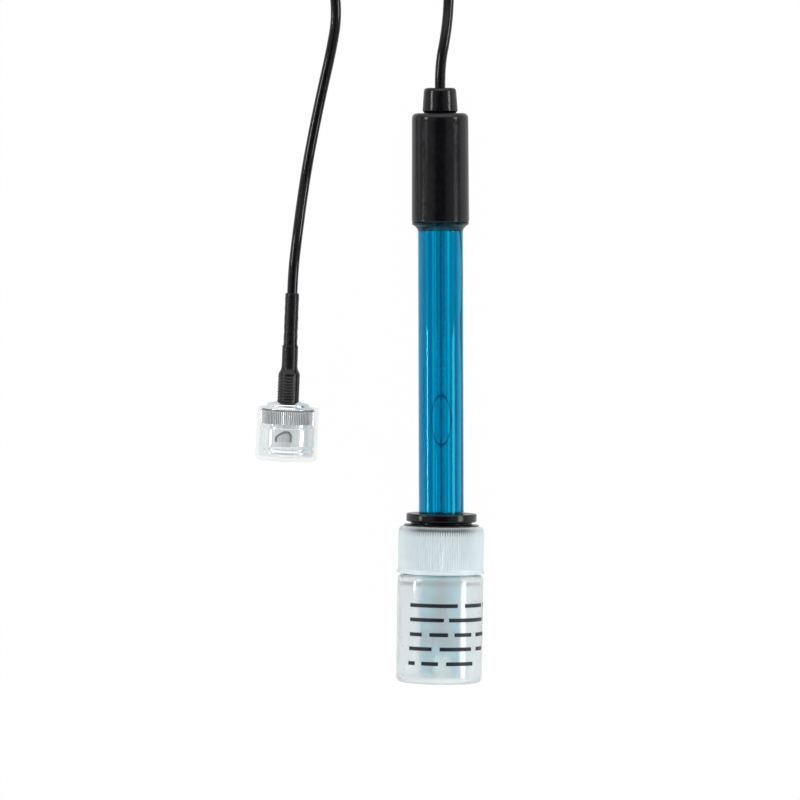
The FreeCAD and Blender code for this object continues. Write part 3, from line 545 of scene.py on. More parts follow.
def make_materials():
    made = {}
    blue = tinted_clear(
        "clear_blue", (0.003, 0.22, 0.43), (0.0, 0.012), 1.42, (0.04, 0.8, 1.0)
    )
    # The barrel's blue carries bands of painted light and shade
    link(blue, painted_light_bands(blue, (0.0001, 0.018, 0.105), (0.001, 0.45, 0.78), (0.006, 0.66, 0.92)),
         shader_of(blue).inputs["Base Color"])
    made["clear_blue"] = blue
    # Darker blue for the ends of the oval's slope: painted shade
    made["oval_rim_shade"] = tinted_clear(
        "oval_rim_shade", (0.0, 0.010, 0.05), (0.0, 0.012), 1.42, (0.02, 0.5, 1.0)
    )
    made["bore_dry"] = tinted_clear("bore_dry", (0.9, 0.97, 0.98), (0.0, 0.02), 1.56)
    made["bore_wet"] = tinted_clear("bore_wet", (0.9, 0.97, 0.98), (0.0, 0.02), 1.0365)
    made["gloss_black"] = black_material(
        "gloss_black", STACK, (0.002, 0.002, 0.0025), (0.006, 0.006, 0.0075), (0.1, 0.16)
    )
    made["black_rubber"] = black_material(
        "black_rubber", STACK, (0.002, 0.002, 0.0025), (0.005, 0.005, 0.006), (0.12, 0.2)
    )
    made["bottle_milk"] = milky_material("bottle_milk", ASKEW, 0.74, (0.95, 0.995, 1.0), 0.3)
    made["cap_milk"] = milky_material("cap_milk", ASKEW, 0.46, CAP_COLOUR, 0.42)
    # The cap's colour carries painted shade
    link(made["cap_milk"], cap_painted_shade(made["cap_milk"]),
         shader_of(made["cap_milk"]).inputs["Base Color"])
    made["clear_plastic"] = soft_clear("clear_plastic", PLUG, (0.62, 0.65, 0.65), 0.13)
    made["solution"] = new_material(
        "solution", (0.93, 0.98, 0.99), 0, Transmission_Weight=1.0, IOR=1.34
    )
    made["gel"] = thin_veil("gel", (0.25, 0.6, 0.72), 0.03)
    made["stem_glass"] = tinted_clear("stem_glass", (0.80, 0.88, 0.92), (0.0, 0.02), 1.5)
    made["stem_wet"] = tinted_clear("stem_wet", (0.80, 0.88, 0.92), (0.0, 0.02), 1.095)
    shader_of(made["stem_wet"]).inputs["Coat Weight"].default_value = 1.0
    shader_of(made["stem_wet"]).inputs["Coat Roughness"].default_value = 0.02
    made["nickel"] = metal("nickel", PLUG, (0.72, 0.77, 0.79), (0.84, 0.87, 0.88), (0.08, 0.18))
    made["nut_nickel"] = nut_metal()
    # Near black for the walls of the nut's windows and its bore: painted shade
    made["slot_shade"] = plain_worn(
        "slot_shade", (0.003, 0.004, 0.005), (0.01, 0.011, 0.012), (0.3, 0.5)
    )
    made["gold"] = metal("gold", PLUG, (0.70, 0.50, 0.18), (0.85, 0.65, 0.28), (0.15, 0.25))
    made["platinum"] = metal(
        "platinum", STACK, (0.62, 0.62, 0.62), (0.75, 0.75, 0.74), (0.15, 0.3)
    )
    made["silver"] = metal("silver", STACK, (0.008, 0.008, 0.01), (0.03, 0.03, 0.03), (0.4, 0.6))
    made["copper"] = metal("copper", STACK, (0.55, 0.28, 0.16), (0.75, 0.42, 0.26), (0.25, 0.4))
    return made


def plain_worn(name, first, second, rough, shine=0.5, **more):
    material = new_material(name, first, rough[0], Specular_IOR_Level=shine)
    return worn(material, place_in(material), first, second, rough, **more)


# Stage

VIEW_DISTANCE = 2.0
VIEW_TILT = 4.2
VIEW_ROLL = -0.187
VIEW_AIM = (-10.415, -3.864, 10.0)
VIEW_WIDTH = 212.69


def make_camera():
    """The photograph's view: from above, a little from the head's side."""
    bpy.ops.object.camera_add()
    camera = bpy.context.object
    camera.name = "camera"
    aim = Vector(VIEW_AIM) * MM
    tilt = math.radians(VIEW_TILT)
    camera.location = aim + Vector((0, math.sin(tilt), math.cos(tilt))) * VIEW_DISTANCE
    camera.rotation_euler = Euler((-tilt, 0, math.radians(VIEW_ROLL)))
    camera.data.sensor_width = 36
    camera.data.lens = 36 * VIEW_DISTANCE / (VIEW_WIDTH * MM)
    camera.data.clip_start = 0.05
    camera.data.clip_end = 20
    bpy.context.scene.camera = camera


def make_softbox(name, angle, middle, length, height, power):
    """A softbox along the electrode, at an angle from the upright. Power is in watts."""
    reach = 1.05
    place = Vector(
        (reach * math.sin(math.radians(angle)), middle, reach * math.cos(math.radians(angle)))
    )
    bpy.ops.object.light_add(type="AREA", location=place)
    lamp = bpy.context.object
    lamp.name = name
    lamp.data.shape = "RECTANGLE"
    lamp.data.size = length
    lamp.data.size_y = height
    lamp.data.energy = power
    aim = Vector((place.x, 0, place.z))
    lamp.rotation_euler = aim.to_track_quat("Z", "Y").to_euler()
    return lamp


FLOOR_WHITE = 0.985
MIRRORED_WHITE = 0.1
SEEN_THROUGH = (1.15, 1.3, 1.3)
BRIGHT_ENDS = (1.85, 1.85, 1.85)
# Heights of the sky, and how light it is there
SKY = ((0.25, 0.34), (0.5, 0.5), (0.8, 0.46), (0.925, 0.26), (0.945, 0.03))


def white_share(material):
    """How far a ray sees plain white: camera and see-through rays do, and mirrored ones less."""
    rays = node(material, "ShaderNodeLightPath").outputs
    mirrored = combine(material, "MULTIPLY", rays["Is Glossy Ray"], MIRRORED_WHITE)
    seen = combine(material, "MAXIMUM", rays["Is Camera Ray"], mirrored)
    seen = combine(material, "MAXIMUM", seen, rays["Is Transmission Ray"])
    return combine(material, "MULTIPLY", seen, FLOOR_WHITE)


def make_floor():
    floor = fresh(bpy.ops.mesh.primitive_grid_add, x_subdivisions=8, y_subdivisions=8, size=8)
    floor.name = "table_top"
    material = new_material("table_white", (0.9, 0.9, 0.9), 0.9, Specular_IOR_Level=0.0)
    white = node(material, "ShaderNodeEmission")
    both = node(material, "ShaderNodeMixShader")
    link(material, white_share(material), both.inputs[0])
    link(material, shader_of(material).outputs[0], both.inputs[1])
    link(material, white.outputs[0], both.inputs[2])
    link(material, both.outputs[0], node_named(material, "Material Output").inputs["Surface"])
    floor.data.materials.append(material)


def make_world():
    """Soft grey sky with a dark patch straight above and brighter ends."""
    world = bpy.data.worlds.new("studio")
    bpy.context.scene.world = world
    world.use_nodes = True
    _, along, up = parts_of(world, node(world, "ShaderNodeTexCoord").outputs["Generated"])
    sky = node(world, "ShaderNodeValToRGB")
    link(world, up, sky.inputs[0])
    stops = sky.color_ramp.elements
    stops[0].color = (0.62, 0.62, 0.62, 1)
    stops[1].color = (0.02, 0.02, 0.02, 1)
    for place, grey in SKY:
        stop = stops.new(place)
        stop.color = (grey, grey, grey * 1.04, 1)
    ends = spread(world, plain_size(world, along), 0, 1, 0.42, 0.62)
    whole = over(world, ends, sky.outputs["Color"], BRIGHT_ENDS)
    through = node(world, "ShaderNodeLightPath").outputs["Is Transmission Ray"]
    seen = over(world, through, whole, SEEN_THROUGH)
    link(world, seen, node_named(world, "Background").inputs["Color"])


def make_stage():
    bpy.context.scene.view_settings.view_transform = "Standard"
    make_camera()
    make_floor()
    make_world()
    make_softbox("right_softbox", 65.5, -0.085, 0.17, 0.28, 1.25)
    make_softbox("left_softbox", -73.0, -0.047, 0.086, 0.075, 0.55)
    make_softbox("right_far", 65.5, 0.30, 0.26, 0.20, 1.9)
    make_softbox("left_far", -60.0, 0.30, 0.26, 0.12, 1.9)


# Pieces of the electrode

def cut_away(piece, cutter, operation="DIFFERENCE"):
    """Cut a piece with another, or add it on, and delete the other."""
    modifier = piece.modifiers.new("cut", "BOOLEAN")
    modifier.operation = operation
    modifier.solver = "EXACT"
    modifier.object = cutter
    apply_modifiers(piece)
    bpy.data.objects.remove(cutter, do_unlink=True)


def block(low, high):
    """A block between two corners, still to be shaped."""
    middle = [(a + b) / 2 for a, b in zip(low, high)]
    spans = [b - a for a, b in zip(low, high)]
    piece = fresh(bpy.ops.mesh.primitive_cube_add, size=1)
    edit_all(piece)
    bpy.ops.transform.resize(value=spans)
    bpy.ops.transform.translate(value=middle)
    done()
    return piece


def rod(radius, sides, middle=0):
    """A round rod along Z, to cut with."""
    return fresh(
        bpy.ops.mesh.primitive_cylinder_add,
        vertices=sides, radius=radius, depth=30, location=(0, 0, middle),
    )


def upright(name, sides, across, up, fill="NGON"):
    """An oval outline that faces along Y, left in edit mode with all of it selected."""
    piece = fresh(bpy.ops.mesh.primitive_circle_add, vertices=sides, radius=1, fill_type=fill)
    piece.name = name
    edit_all(piece)
    spin_selected(90, "X")
    bpy.ops.transform.resize(value=(across, 1, up), center_override=(0, 0, 0))
    return piece


def spin_selected(degrees, axis="Z"):
    bpy.ops.transform.rotate(
        value=math.radians(degrees), orient_axis=axis, center_override=(0, 0, 0)
    )


def turn_piece(piece, degrees):
    edit_all(piece)
    spin_selected(degrees)
    done()


def taper(cutter, middle, length, share):
    """Extrude a selected outline inwards along Y, shrinking it towards a point."""
    bpy.ops.mesh.extrude_region_move(TRANSFORM_OT_translate={"value": (0, length, 0)})
    end = (middle[0], middle[1] + length, middle[2])
    bpy.ops.transform.resize(value=(share, 1, share), center_override=end)
    face_outwards()
    done()


def face_outwards():
    bpy.ops.mesh.select_all(action="SELECT")
    bpy.ops.mesh.normals_make_consistent(inside=False)


def guard_window(degrees):
    """Cutter for two facing windows of the guard."""
    wide, top, low, corner = 4.0, 7.8, 1.4, 1.8
    cutter = block((-wide / 2, -7, low), (wide / 2, 7, top))
    edit(cutter)
    select(cutter, lambda v: v.co.z > top - 0.1)
    bpy.ops.mesh.select_mode(type="EDGE")
    mesh = bmesh.from_edit_mesh(cutter.data)
    for edge in mesh.edges:
        ends = edge.verts
        along = abs(ends[0].co.x - ends[1].co.x) < 1e-6
        edge.select_set(along and all(v.co.z > top - 0.1 for v in ends))
    bmesh.update_edit_mesh(cutter.data)
    bpy.ops.mesh.bevel(offset=corner, segments=6, affect="EDGES")
    done()
    turn_piece(cutter, degrees)
    return cutter


OVAL_ACROSS = 3.4
OVAL_UP = 7.1
OVAL_DEPTH = 0.42


def oval_cutter():
    """Oval cutter with a slope all round and an inner end that follows the barrel."""
    start, wider, narrower = -7.5, 1.36, 0.6
    cutter = upright("oval_cutter", 96, OVAL_ACROSS * wider, OVAL_UP * wider)
    bpy.ops.transform.translate(value=(0, start, OVAL_MID))
    taper(cutter, (0, start, OVAL_MID), 3.0, narrower / wider)
    cut_away(cutter, rod(BARREL_R - OVAL_DEPTH, BARREL_SIDES, OVAL_MID))
    return cutter


def make_barrel():
    """Clear tube with its slotted guard, stop groove, oval recess, flared collar and spigot."""
    section = [
        (4.4, TIP, 0.2),
        (BARREL_R, TIP, 0.5),
        (BARREL_R, 44.45),
        (BARREL_R - 0.2, 44.5),
        (BARREL_R - 0.2, 45.3),
        (BARREL_R, 45.35),
        (BARREL_R, 58.0),
        (BARREL_R, 62.0),
        (BARREL_R, 78.0),
        (BARREL_R, 82.0),
        (BARREL_R, 100.0),
        (BARREL_R, 112.0),
        (BARREL_R, COLLAR - 2.5),
        (BARREL_R, COLLAR - 2.3),
        (BARREL_R + 0.05, COLLAR - 2.0),
        (BARREL_R + 0.3, COLLAR - 1.5),
        (BARREL_R + 0.75, COLLAR - 1.0),
        (BARREL_R + 1.25, COLLAR - 0.65),
        (BARREL_R + 1.5, COLLAR - 0.5),
        (COLLAR_R, COLLAR - 0.4),
        (COLLAR_R, COLLAR),
        (6.5, COLLAR),
        (6.5, SPIGOT_TOP),
        (BORE_R, SPIGOT_TOP),
        (BORE_R, 100.0),
        (BORE_R, 60.0),
        (BORE_R, GUARD_TOP, 0.15),
        (4.4, GUARD_TOP, 0.1),
    ]
    barrel = turned("barrel", section, sides=BARREL_SIDES, steps=8)
    cut_away(barrel, guard_window(0))
    cut_away(barrel, guard_window(90))
    cut_away(barrel, oval_cutter())
    return barrel


def wall_finishes(piece, outside, *inner):
    """Give a tube its finish outside, and others inside as (material, radius, low, high)."""
    piece.data.materials.clear()
    for material in (outside, *(row[0] for row in inner)):
        piece.data.materials.append(material)
    for face in piece.data.polygons:
        middle = face.center
        face.material_index = 0
        for i, (_, radius, low, high) in enumerate(inner):
            if math.hypot(middle.x, middle.y) < radius and low < middle.z < high:
                face.material_index = i + 1


def darken_oval(barrel, deep):
    """Give the two ends of the oval's slope a darker blue, which is painted shade."""
    barrel.data.materials.append(deep)
    last = len(barrel.data.materials) - 1
    for face in barrel.data.polygons:
        middle, normal = face.center, face.normal
        on_slope = BARREL_R - OVAL_DEPTH + 0.02 < math.hypot(middle.x, middle.y) < BARREL_R - 0.02
        if on_slope and abs(middle.z - OVAL_MID) < 8 and abs(normal.z) > 0.35:
            face.material_index = last


def make_stem():
    """Glass stem, hollow around the lead and closed at its foot."""
    section = [
        (0, 8.3),
        (1.5, 8.3, 0.5),
        (1.5, 60.0),
        (1.5, 134.3),
        (1.22, 134.3),
        (1.22, 60.0),
        (1.22, 12.3, 0.3),
        (0, 12.3),
    ]
    return turned("stem", section, sides=96, closed=False)


def make_head():
    section = [
        (6.53, COLLAR),
        (HEAD_R - 0.3, COLLAR),
        (HEAD_R, COLLAR + 0.3, 0.25),
        (7.5, HEAD_TOP, 1.6),
        (5.1, HEAD_TOP, 0.35),
        (4.78, HEAD_TOP - 0.35, 0.2),
        (3.63, HEAD_TOP - 0.35),
        (3.63, HEAD_INSIDE),
        (6.53, HEAD_INSIDE),
    ]
    return set_in_place(turned("head", section, steps=8), STACK)


def make_bush():
    section = [
        (1.43, HEAD_INSIDE - 1.5),
        (5.2, HEAD_INSIDE - 1.5),
        (5.2, HEAD_INSIDE),
        (3.6, HEAD_INSIDE),
        (3.6, HEAD_TOP - 0.3),
        (4.15, HEAD_TOP - 0.1, 0.1),
        (4.35, HEAD_TOP + 0.25, 0.15),
        (4.7, HEAD_TOP + 0.45, 0.3),
        (4.25, BUSH_TOP, 1.0),
        (1.75, BUSH_TOP, 0.25),
        (1.43, BUSH_TOP - 0.3, 0.15),
    ]
    return set_in_place(turned("bush", section, steps=6), STACK)


def make_gland():
    section = [
        (6.16, GLAND_LOW),
        (8.7, GLAND_LOW, 0.2),
        (8.7, PLATE_LOW),
        (7.4, PLATE_LOW),
        (7.4, CAP_TOP + 0.02),
        (9.9, CAP_TOP + 0.02, 0.1),
        (9.9, CAP_TOP + 0.35, 0.15),
        (8.1, CAP_TOP + 0.5, 0.3),
        (8.1, GLAND_SEAT, 0.3),
        (9.35, GLAND_SEAT, 0.5),
        (9.35, GLAND_TOP, 0.45),
        (6.5, GLAND_TOP, 0.3),
        (6.16, GLAND_TOP - 0.35, 0.2),
    ]
    return set_in_place(turned("gland", section, sides=160, steps=7), ASKEW)


def make_seal_ring():
    section = [
        (6.2, MOUTH + 0.02, 0.3),
        (8.85, MOUTH + 0.02, 0.4),
        (8.85, GLAND_LOW - 0.02, 0.4),
        (6.2, GLAND_LOW - 0.02, 0.3),
    ]
    return set_in_place(turned("seal_ring", section, steps=5), ASKEW)


def pull_in(piece, per_rib, pulls, outside, low, high):
    """Pull in columns of a turned piece's outer wall, the same way in each rib."""
    for column, depth in enumerate(pulls):
        if not depth:
            continue
        edit(piece)
        select(
            piece,
            lambda v: v.index % per_rib == column
            and math.hypot(v.co.x, v.co.y) > outside
            and low < v.co.z < high,
        )
        radius = outside + 1
        shrink = (radius - depth) / radius
        bpy.ops.transform.resize(value=(shrink, shrink, 1), center_override=(0, 0, 0))
        done()


def thread(name, radius, stand, wide, low, turns):
    """Screw thread of the bottle's pitch, half sunk in the wall that it stands on."""
    piece = upright(name, 6, stand, wide / 2, fill="NOTHING")
    bpy.ops.transform.translate(value=(radius, 0, low))
    done()
    screw = piece.modifiers.new("screw", "SCREW")
    screw.axis = "Z"
    screw.angle = math.radians(360 * turns)
    screw.screw_offset = PITCH * turns
    screw.iterations = 1
    screw.steps = int(72 * turns)
    screw.render_steps = screw.steps
    apply_modifiers(piece)
    edit_all(piece)
    bpy.ops.mesh.remove_doubles(threshold=0.0001)
    bpy.ops.mesh.fill_holes(sides=0)
    face_outwards()
    done()
    return piece


PITCH = 3.175
RIBS = 108
CAP_R = 11.375


def make_cap():
    """Screw cap with fine ribs, a lip and a thread inside."""
    section = [
        (9.7, LIP_LOW),
        (11.65, LIP_LOW, 0.2),
        (11.65, LIP_LOW + 0.3, 0.2),
        (CAP_R, LIP_LOW + 0.8, 0.2),
        (CAP_R, LIP_LOW + 1.1),
        (CAP_R, LIP_LOW + 1.5),
        (CAP_R, CAP_TOP - 1.5),
        (CAP_R - 0.15, CAP_TOP - 0.95),
        (CAP_R - 0.5, CAP_TOP - 0.4),
        (CAP_R - 1.1, CAP_TOP),
        (9.6, CAP_TOP),
        (9.4, CAP_TOP - 0.12),
        (7.43, CAP_TOP - 0.12),
        (7.43, PLATE_LOW),
        (9.7, PLATE_LOW, 0.4),
    ]
    cap = turned("cap", section, sides=RIBS * 6, steps=3)
    pull_in(cap, 6, (0, 0.04, 0.15, 0.22, 0.15, 0.04), CAP_R - 1.2, LIP_LOW + 1.3, CAP_TOP + 0.1)
    cap = set_in_place(cap, ASKEW, smooth=30)
    ridge = set_in_place(thread("cap_thread", 9.72, 0.3, 1.3, 31.4, 1.9), ASKEW, smooth=30)
    return join([cap, ridge])


def make_bottle():
    section = [
        (0, 0.5),
        (8.0, 0.5, 0.3),
        (8.5, 0.0, 0.2),
        (11.4, 0.0, 1.8),
        (11.4, 14.0),
        (11.4, BOTTLE_TOP, 1.5),
        (9.2, BOTTLE_TOP, 0.3),
        (9.2, MOUTH, 0.3),
        (7.9, MOUTH, 0.3),
        (7.9, 26.6, 0.5),
        (10.1, 26.6, 1.2),
        (10.1, 14.0),
        (10.1, 1.4, 1.2),
        (0, 1.4),
    ]
    bottle = set_in_place(turned("bottle", section, closed=False, steps=7), ASKEW)
    ridge = set_in_place(thread("neck_thread", 9.18, 0.3, 1.2, 31.0, 1.6), ASKEW, smooth=30)
    return join([bottle, ridge])


# Height of each row, and the angles that its bars run between
PRINT_ROWS = (
    (21.0, ((-44, 24), (35, 72), (79, 112))),
    (17.2, ((-44, 5), (12, 76), (84, 118))),
    (13.3, ((-44, -25), (-14, 11), (20, 47), (56, 102))),
    (9.5, ((-45, -11), (0, 47), (57, 76), (84, 120))),
    (5.6, ((-46, -35), (-25, -2), (9, 50))),
)


def make_print():
    """Rows of plain bars where the bottle is printed, each a thin patch on its wall."""
    bars = []
    for height, words in PRINT_ROWS:
        for first, last in words:
            bars.append(print_bar(height, first, last))
    return set_in_place(join(bars), ASKEW, smooth=30)


def print_bar(height, first, last):
    """One bar between two angles from the bottle's upper side, with rounded ends."""
    half, radius = 0.5, 11.41
    bar = upright("print", 8, half * 0.05, half)
    bpy.ops.transform.translate(value=(0, -radius, height))
    spin_selected(-first)
    steps = max(2, int((last - first) / 3))
    bpy.ops.mesh.spin(
        steps=steps, angle=math.radians(last - first), center=(0, 0, 0), axis=(0, 0, -1)
    )
    done()
    edit_all(bar)
    bpy.ops.mesh.remove_doubles(threshold=0.0005)
    bpy.ops.mesh.normals_make_consistent(inside=False)
    done()
    return bar


def make_wire():
    """Reference wire, hanging a little loose along the bore."""
    marks = (
        (3.4, 0, 140), (3.4, 0, 134), (3.4, 0, 127), (3.7, 0, 122), (4.0, 0.2, 119.8),
        (4.36, -0.2, 116.4), (4.66, 0.2, 112), (4.62, 0.2, 106), (4.5, 0, 101),
        (4.2, -0.1, 96.8), (4.22, 0.1, 92.5), (4.4, 0, 87), (4.5, 0.2, 79), (4.48, -0.2, 68),
        (4.42, 0, 58), (4.4, 0, 47), (3.9, 0, 41), (3.4, 0, 36),
    )
    places = [tuple(STACK @ (Vector(mark) * MM) / MM) for mark in marks]
    return nurbs("wire", places, 0.2)


# Pieces of the plug

NUT_R = 7.2
WINDOW_FLOOR_R = 6.45
KNURLS = 84
# Corners of the nut's window: an angle round the nut, and a height
WINDOW = (
    (-30, 4.1), (-30.5, 5.0), (-28, 5.8), (-15, 6.55), (-5, 7.0),
    (3, 7.0), (9, 6.6), (12.4, 6.0), (12, 4.1),
)


def window_cutter(flip):
    """Cutter through the nut's wall on one side, its outline as seen from outside."""
    middle = (-1.1, -9, 4.1)
    wider, narrower = 1.54, 0.4
    outline = [(NUT_R * math.sin(math.radians(at)), height) for at, height in WINDOW]
    cutter = fresh(
        bpy.ops.mesh.primitive_circle_add, vertices=len(outline), radius=1, fill_type="NGON"
    )
    places = [v.co.copy() for v in cutter.data.vertices]
    for i, (across, up) in enumerate(outline):
        edit(cutter)
        select(cutter, lambda v: v.index == i)
        start = places[i]
        bpy.ops.transform.translate(
            value=(across - start.x, middle[1] - start.y, up - start.z)
        )
        done()
    edit_all(cutter)
    bpy.ops.transform.resize(value=(wider, 1, wider), center_override=middle)
    taper(cutter, middle, 3.8, narrower / wider)
    cut_away(cutter, rod(WINDOW_FLOOR_R, SIDES))
    if flip:
        turn_piece(cutter, 180)
    return cutter


def make_nut():
    """Coupling nut: a fine knurl, two ring grooves and a window over each bayonet ramp."""
    section = [
        (4.95, 0.0, 0.2),
        (NUT_R - 0.5, 0.0, 0.15),
        (NUT_R, 0.5, 0.15),
        (NUT_R, 1.3, 0.1),
        (NUT_R - 0.45, 1.75, 0.1),
        (NUT_R - 0.45, 2.2, 0.1),
        (NUT_R, 2.65, 0.1),
        (NUT_R, 7.5, 0.15),
        (NUT_R - 0.45, 7.55, 0.1),
        (NUT_R - 0.45, 8.6),
        (NUT_R, 8.6),
        (NUT_R, 11.9),
        (NUT_R - 0.4, 12.3),
        (4.0, 12.3, 0.1),
        (4.0, 10.6),
        (4.95, 10.6),
    ]
    nut = turned("nut", section, sides=KNURLS * 4, steps=2)
    pull_in(nut, 4, (0, 0.13, 0.26, 0.13), NUT_R - 0.35, 8.55, 12.0)
    for flip in (False, True):
        cut_away(nut, window_cutter(flip))
        channel = block((-1.05, -6.0, -1), (1.05, -3, 4.5))
        turn_piece(channel, 180 if flip else 0)
        cut_away(nut, channel)
    return nut


def darken_slots(nut, metal_finish, dark):
    """Give the walls of the nut's windows and its bore a near black finish, which is painted shade."""
    nut.data.materials.clear()
    nut.data.materials.append(metal_finish)
    nut.data.materials.append(dark)
    for face in nut.data.polygons:
        middle, normal = face.center, face.normal
        reach = math.hypot(middle.x, middle.y)
        outward = (middle.x * normal.x + middle.y * normal.y) / reach
        # Painted shade on the window walls and in the bore
        slope = reach < NUT_R - 0.02 and outward < 0.93 and 4.15 < middle.z < 7.2
        face.material_index = 1 if slope or reach < 5.5 else 0


def make_cover():
    """Soft clear cover, closed at its front, with a moulding line along it."""
    section = [
        (0, -1.22),
        (8.17, -1.22, 0.9),
        (8.14, 6.0),
        (8.07, 12.88, 0.35),
        (7.32, 12.88, 0.2),
        (7.32, 6.0),
        (7.32, -0.12, 0.6),
        (0, -0.12),
    ]
    cover = turned("cover", section, sides=160, closed=False, steps=5)
    line = block((-0.08, -8.14, -0.3), (0.08, -7.9, 12.6))
    turn_piece(line, -12)
    return set_in_place(join([cover, line]), PLUG, smooth=40)


def make_plug_back():
    """Domed back of the plug's body, behind the nut."""
    section = [
        (5.0, 12.45),
        (6.6, 12.45, 0.1),
        (6.6, 12.65, 0.15),
        (6.1, 12.75, 0.15),
        (5.8, 13.1, 0.3),
        (4.4, 14.0, 0.8),
        (2.95, 14.5, 0.3),
        (2.95, 12.45),
    ]
    return set_in_place(turned("plug_back", section, steps=4), PLUG)


def push_out(piece, wanted, share):
    """Scale the vertices that pass a test away from the piece's axis."""
    edit(piece)
    select(piece, wanted)
    bpy.ops.transform.resize(value=(share, share, 1), center_override=(0, 0, 0))
    done()


def make_shrink_sleeve():
    """Sleeve shrunk over the ferrule, with the ferrule's crimp rings showing on one side."""
    section = [(2.48, 13.9, 0.1), (2.86, 13.9, 0.15)]
    crimps = [14.6 + 0.8 * i for i in range(9)]
    for height in crimps:
        section += [(2.84, height - 0.2), (2.84, height), (2.84, height + 0.2)]
    section += [(2.875, 21.8, 0.4), (2.12, 23.2, 0.7), (2.1, 29.4, 0.15), (1.88, 29.4)]
    section += [(1.88, 22.9), (2.48, 21.5)]
    sleeve = turned("shrink_tube", section, sides=96, steps=4)
    push_out(
        sleeve,
        lambda v: v.co.x < 1.2
        and math.hypot(v.co.x, v.co.y) > 2.7
        and any(abs(v.co.z - height) < 0.02 for height in crimps),
        1.065,
    )
    return set_in_place(sleeve, PLUG, smooth=50)


def make_marker_sleeve():
    """Thinner sleeve shrunk on to the cord, a little uneven along its length."""
    section = [(1.43, 26.8), (1.85, 26.8, 0.1)]
    waves = (0.0, 0.05, -0.02, 0.04, -0.04, 0.03, 0.0, 0.05, -0.03, 0.02, -0.02, 0.03)
    for i, wave in enumerate(waves):
        section.append((1.83 + wave, 28.0 + 1.25 * i))
    section += [(1.8, 43.3, 0.15), (1.43, 43.3)]
    return set_in_place(turned("marker_tube", section, sides=64, steps=4), PLUG, smooth=60)


def make_tie():
    """Strap round the coil, twisted shut."""
    low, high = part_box("coil_tie")
    low = Vector(low) / MM
    high = Vector(high) / MM
    band = block(low, high)
    band.name = "coil_strap"
    edit(band)
    select(band, lambda f: abs(f.normal.x) > 0.9, "FACE")
    bpy.ops.mesh.delete(type="FACE")
    bpy.ops.mesh.select_all(action="SELECT")
    bpy.ops.mesh.bevel(offset=0.9, segments=4, affect="EDGES")
    face_outwards()
    done()
    wall = band.modifiers.new("wall", "SOLIDIFY")
    wall.thickness = 0.6
    wall.offset = -1
    apply_modifiers(band)
    ends = block((-0.9, -6.0, -0.35), (0.9, 0.3, 0.35))
    edit_all(ends)
    bpy.ops.mesh.subdivide(number_cuts=15)
    done()
    twist = ends.modifiers.new("twist", "SIMPLE_DEFORM")
    twist.deform_method = "TWIST"
    twist.deform_axis = "Y"
    twist.angle = math.radians(720)
    apply_modifiers(ends)
    edit_all(ends)
    bpy.ops.transform.translate(value=((low.x + high.x) / 2, low.y, 1.95))
    done()
    return set_in_place(join([band, ends]), Matrix.Identity(4), smooth=35)


# Cord

CORD_LIFT = 1.45
COIL_MID = (-13.0, 132.0)
TURNS = (20.8, 18.0, 15.2, 12.4)
LAYERS = (CORD_LIFT, 4.25)
PER_TURN = 18


def coil_points():
    """The turns of the coil, from its outer turn below to its outer turn above."""
    jog = 215
    marks = []
    angle = -15
    plan = [(r, LAYERS[0]) for r in TURNS] + [(r, LAYERS[1]) for r in reversed(TURNS)]
    end = 195 + 7 * 360
    step = 360 / PER_TURN
    while angle < end + 1e-6:
        turns_done = (angle - jog) / 360
        index = 0 if turns_done < 0 else int(turns_done) + 1
        marks.append((angle, *plan[min(index, len(plan) - 1)]))
        angle += step
    cut = math.cos(math.radians(step / 2))
    points = []
    for at, radius, height in marks:
        turned_to = math.radians(at)
        out = radius / cut
        points.append(
            (COIL_MID[0] + out * math.cos(turned_to), COIL_MID[1] + out * math.sin(turned_to), height)
        )
    return points


def cord_route():
    exit_point = STACK @ Vector((0, 0, BUSH_TOP * MM)) / MM
    beyond_bush = STACK @ Vector((0, 0, (BUSH_TOP + 6.0) * MM)) / MM
    plug_end = PLUG @ Vector((0, 0, 43.3 * MM)) / MM
    beyond_plug = PLUG @ Vector((0, 0, 49.3 * MM)) / MM
    lead = [
        tuple(exit_point),
        tuple(beyond_bush),
        (1.5, 92.4, 5.7),
        (2.35, 99.6, 3.5),
        (2.54, 109.62, CORD_LIFT),
        (4.09, 115.41, CORD_LIFT),
    ]
    plug_run = [
        (-30.09, 115.41, 4.25),
        (-28.54, 109.62, 4.25),
        (-27.2, 98.3, 2.9),
        (-29.0, 88.2, 1.6),
        (-31.4, 78.0, CORD_LIFT),
        (-33.6, 67.6, 1.5),
        (-35.5, 57.6, 2.4),
        (-37.0, 47.8, 4.7),
        (-38.2, 38.8, 7.1),
        tuple(beyond_plug),
        tuple(plug_end),
    ]
    return lead + coil_points() + plug_run


def nurbs(name, points, radius):
    """A round cord on a smooth line."""
    curve = bpy.data.curves.new(name, "CURVE")
    curve.dimensions = "3D"
    spline = curve.splines.new("NURBS")
    spline.points.add(len(points) - 1)
    for point, place in zip(spline.points, points):
        point.co = (*(c * MM for c in place), 1)
    spline.order_u = 3
    spline.use_endpoint_u = True
    curve.bevel_depth = radius * MM
    curve.bevel_resolution = 6
    curve.resolution_u = 6
    curve.use_fill_caps = True
    cord = bpy.data.objects.new(name, curve)
    bpy.context.scene.collection.objects.link(cord)
    return cord


def make_cord(materials):
    points = cord_route()
    cord = nurbs("signal_cord", points, 1.4)
    cord.data.materials.append(materials["cord_jacket"])
    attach(cord, "electrode")
    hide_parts("cord_lead", "cord_coil", "cord_plug_run")
    return cord


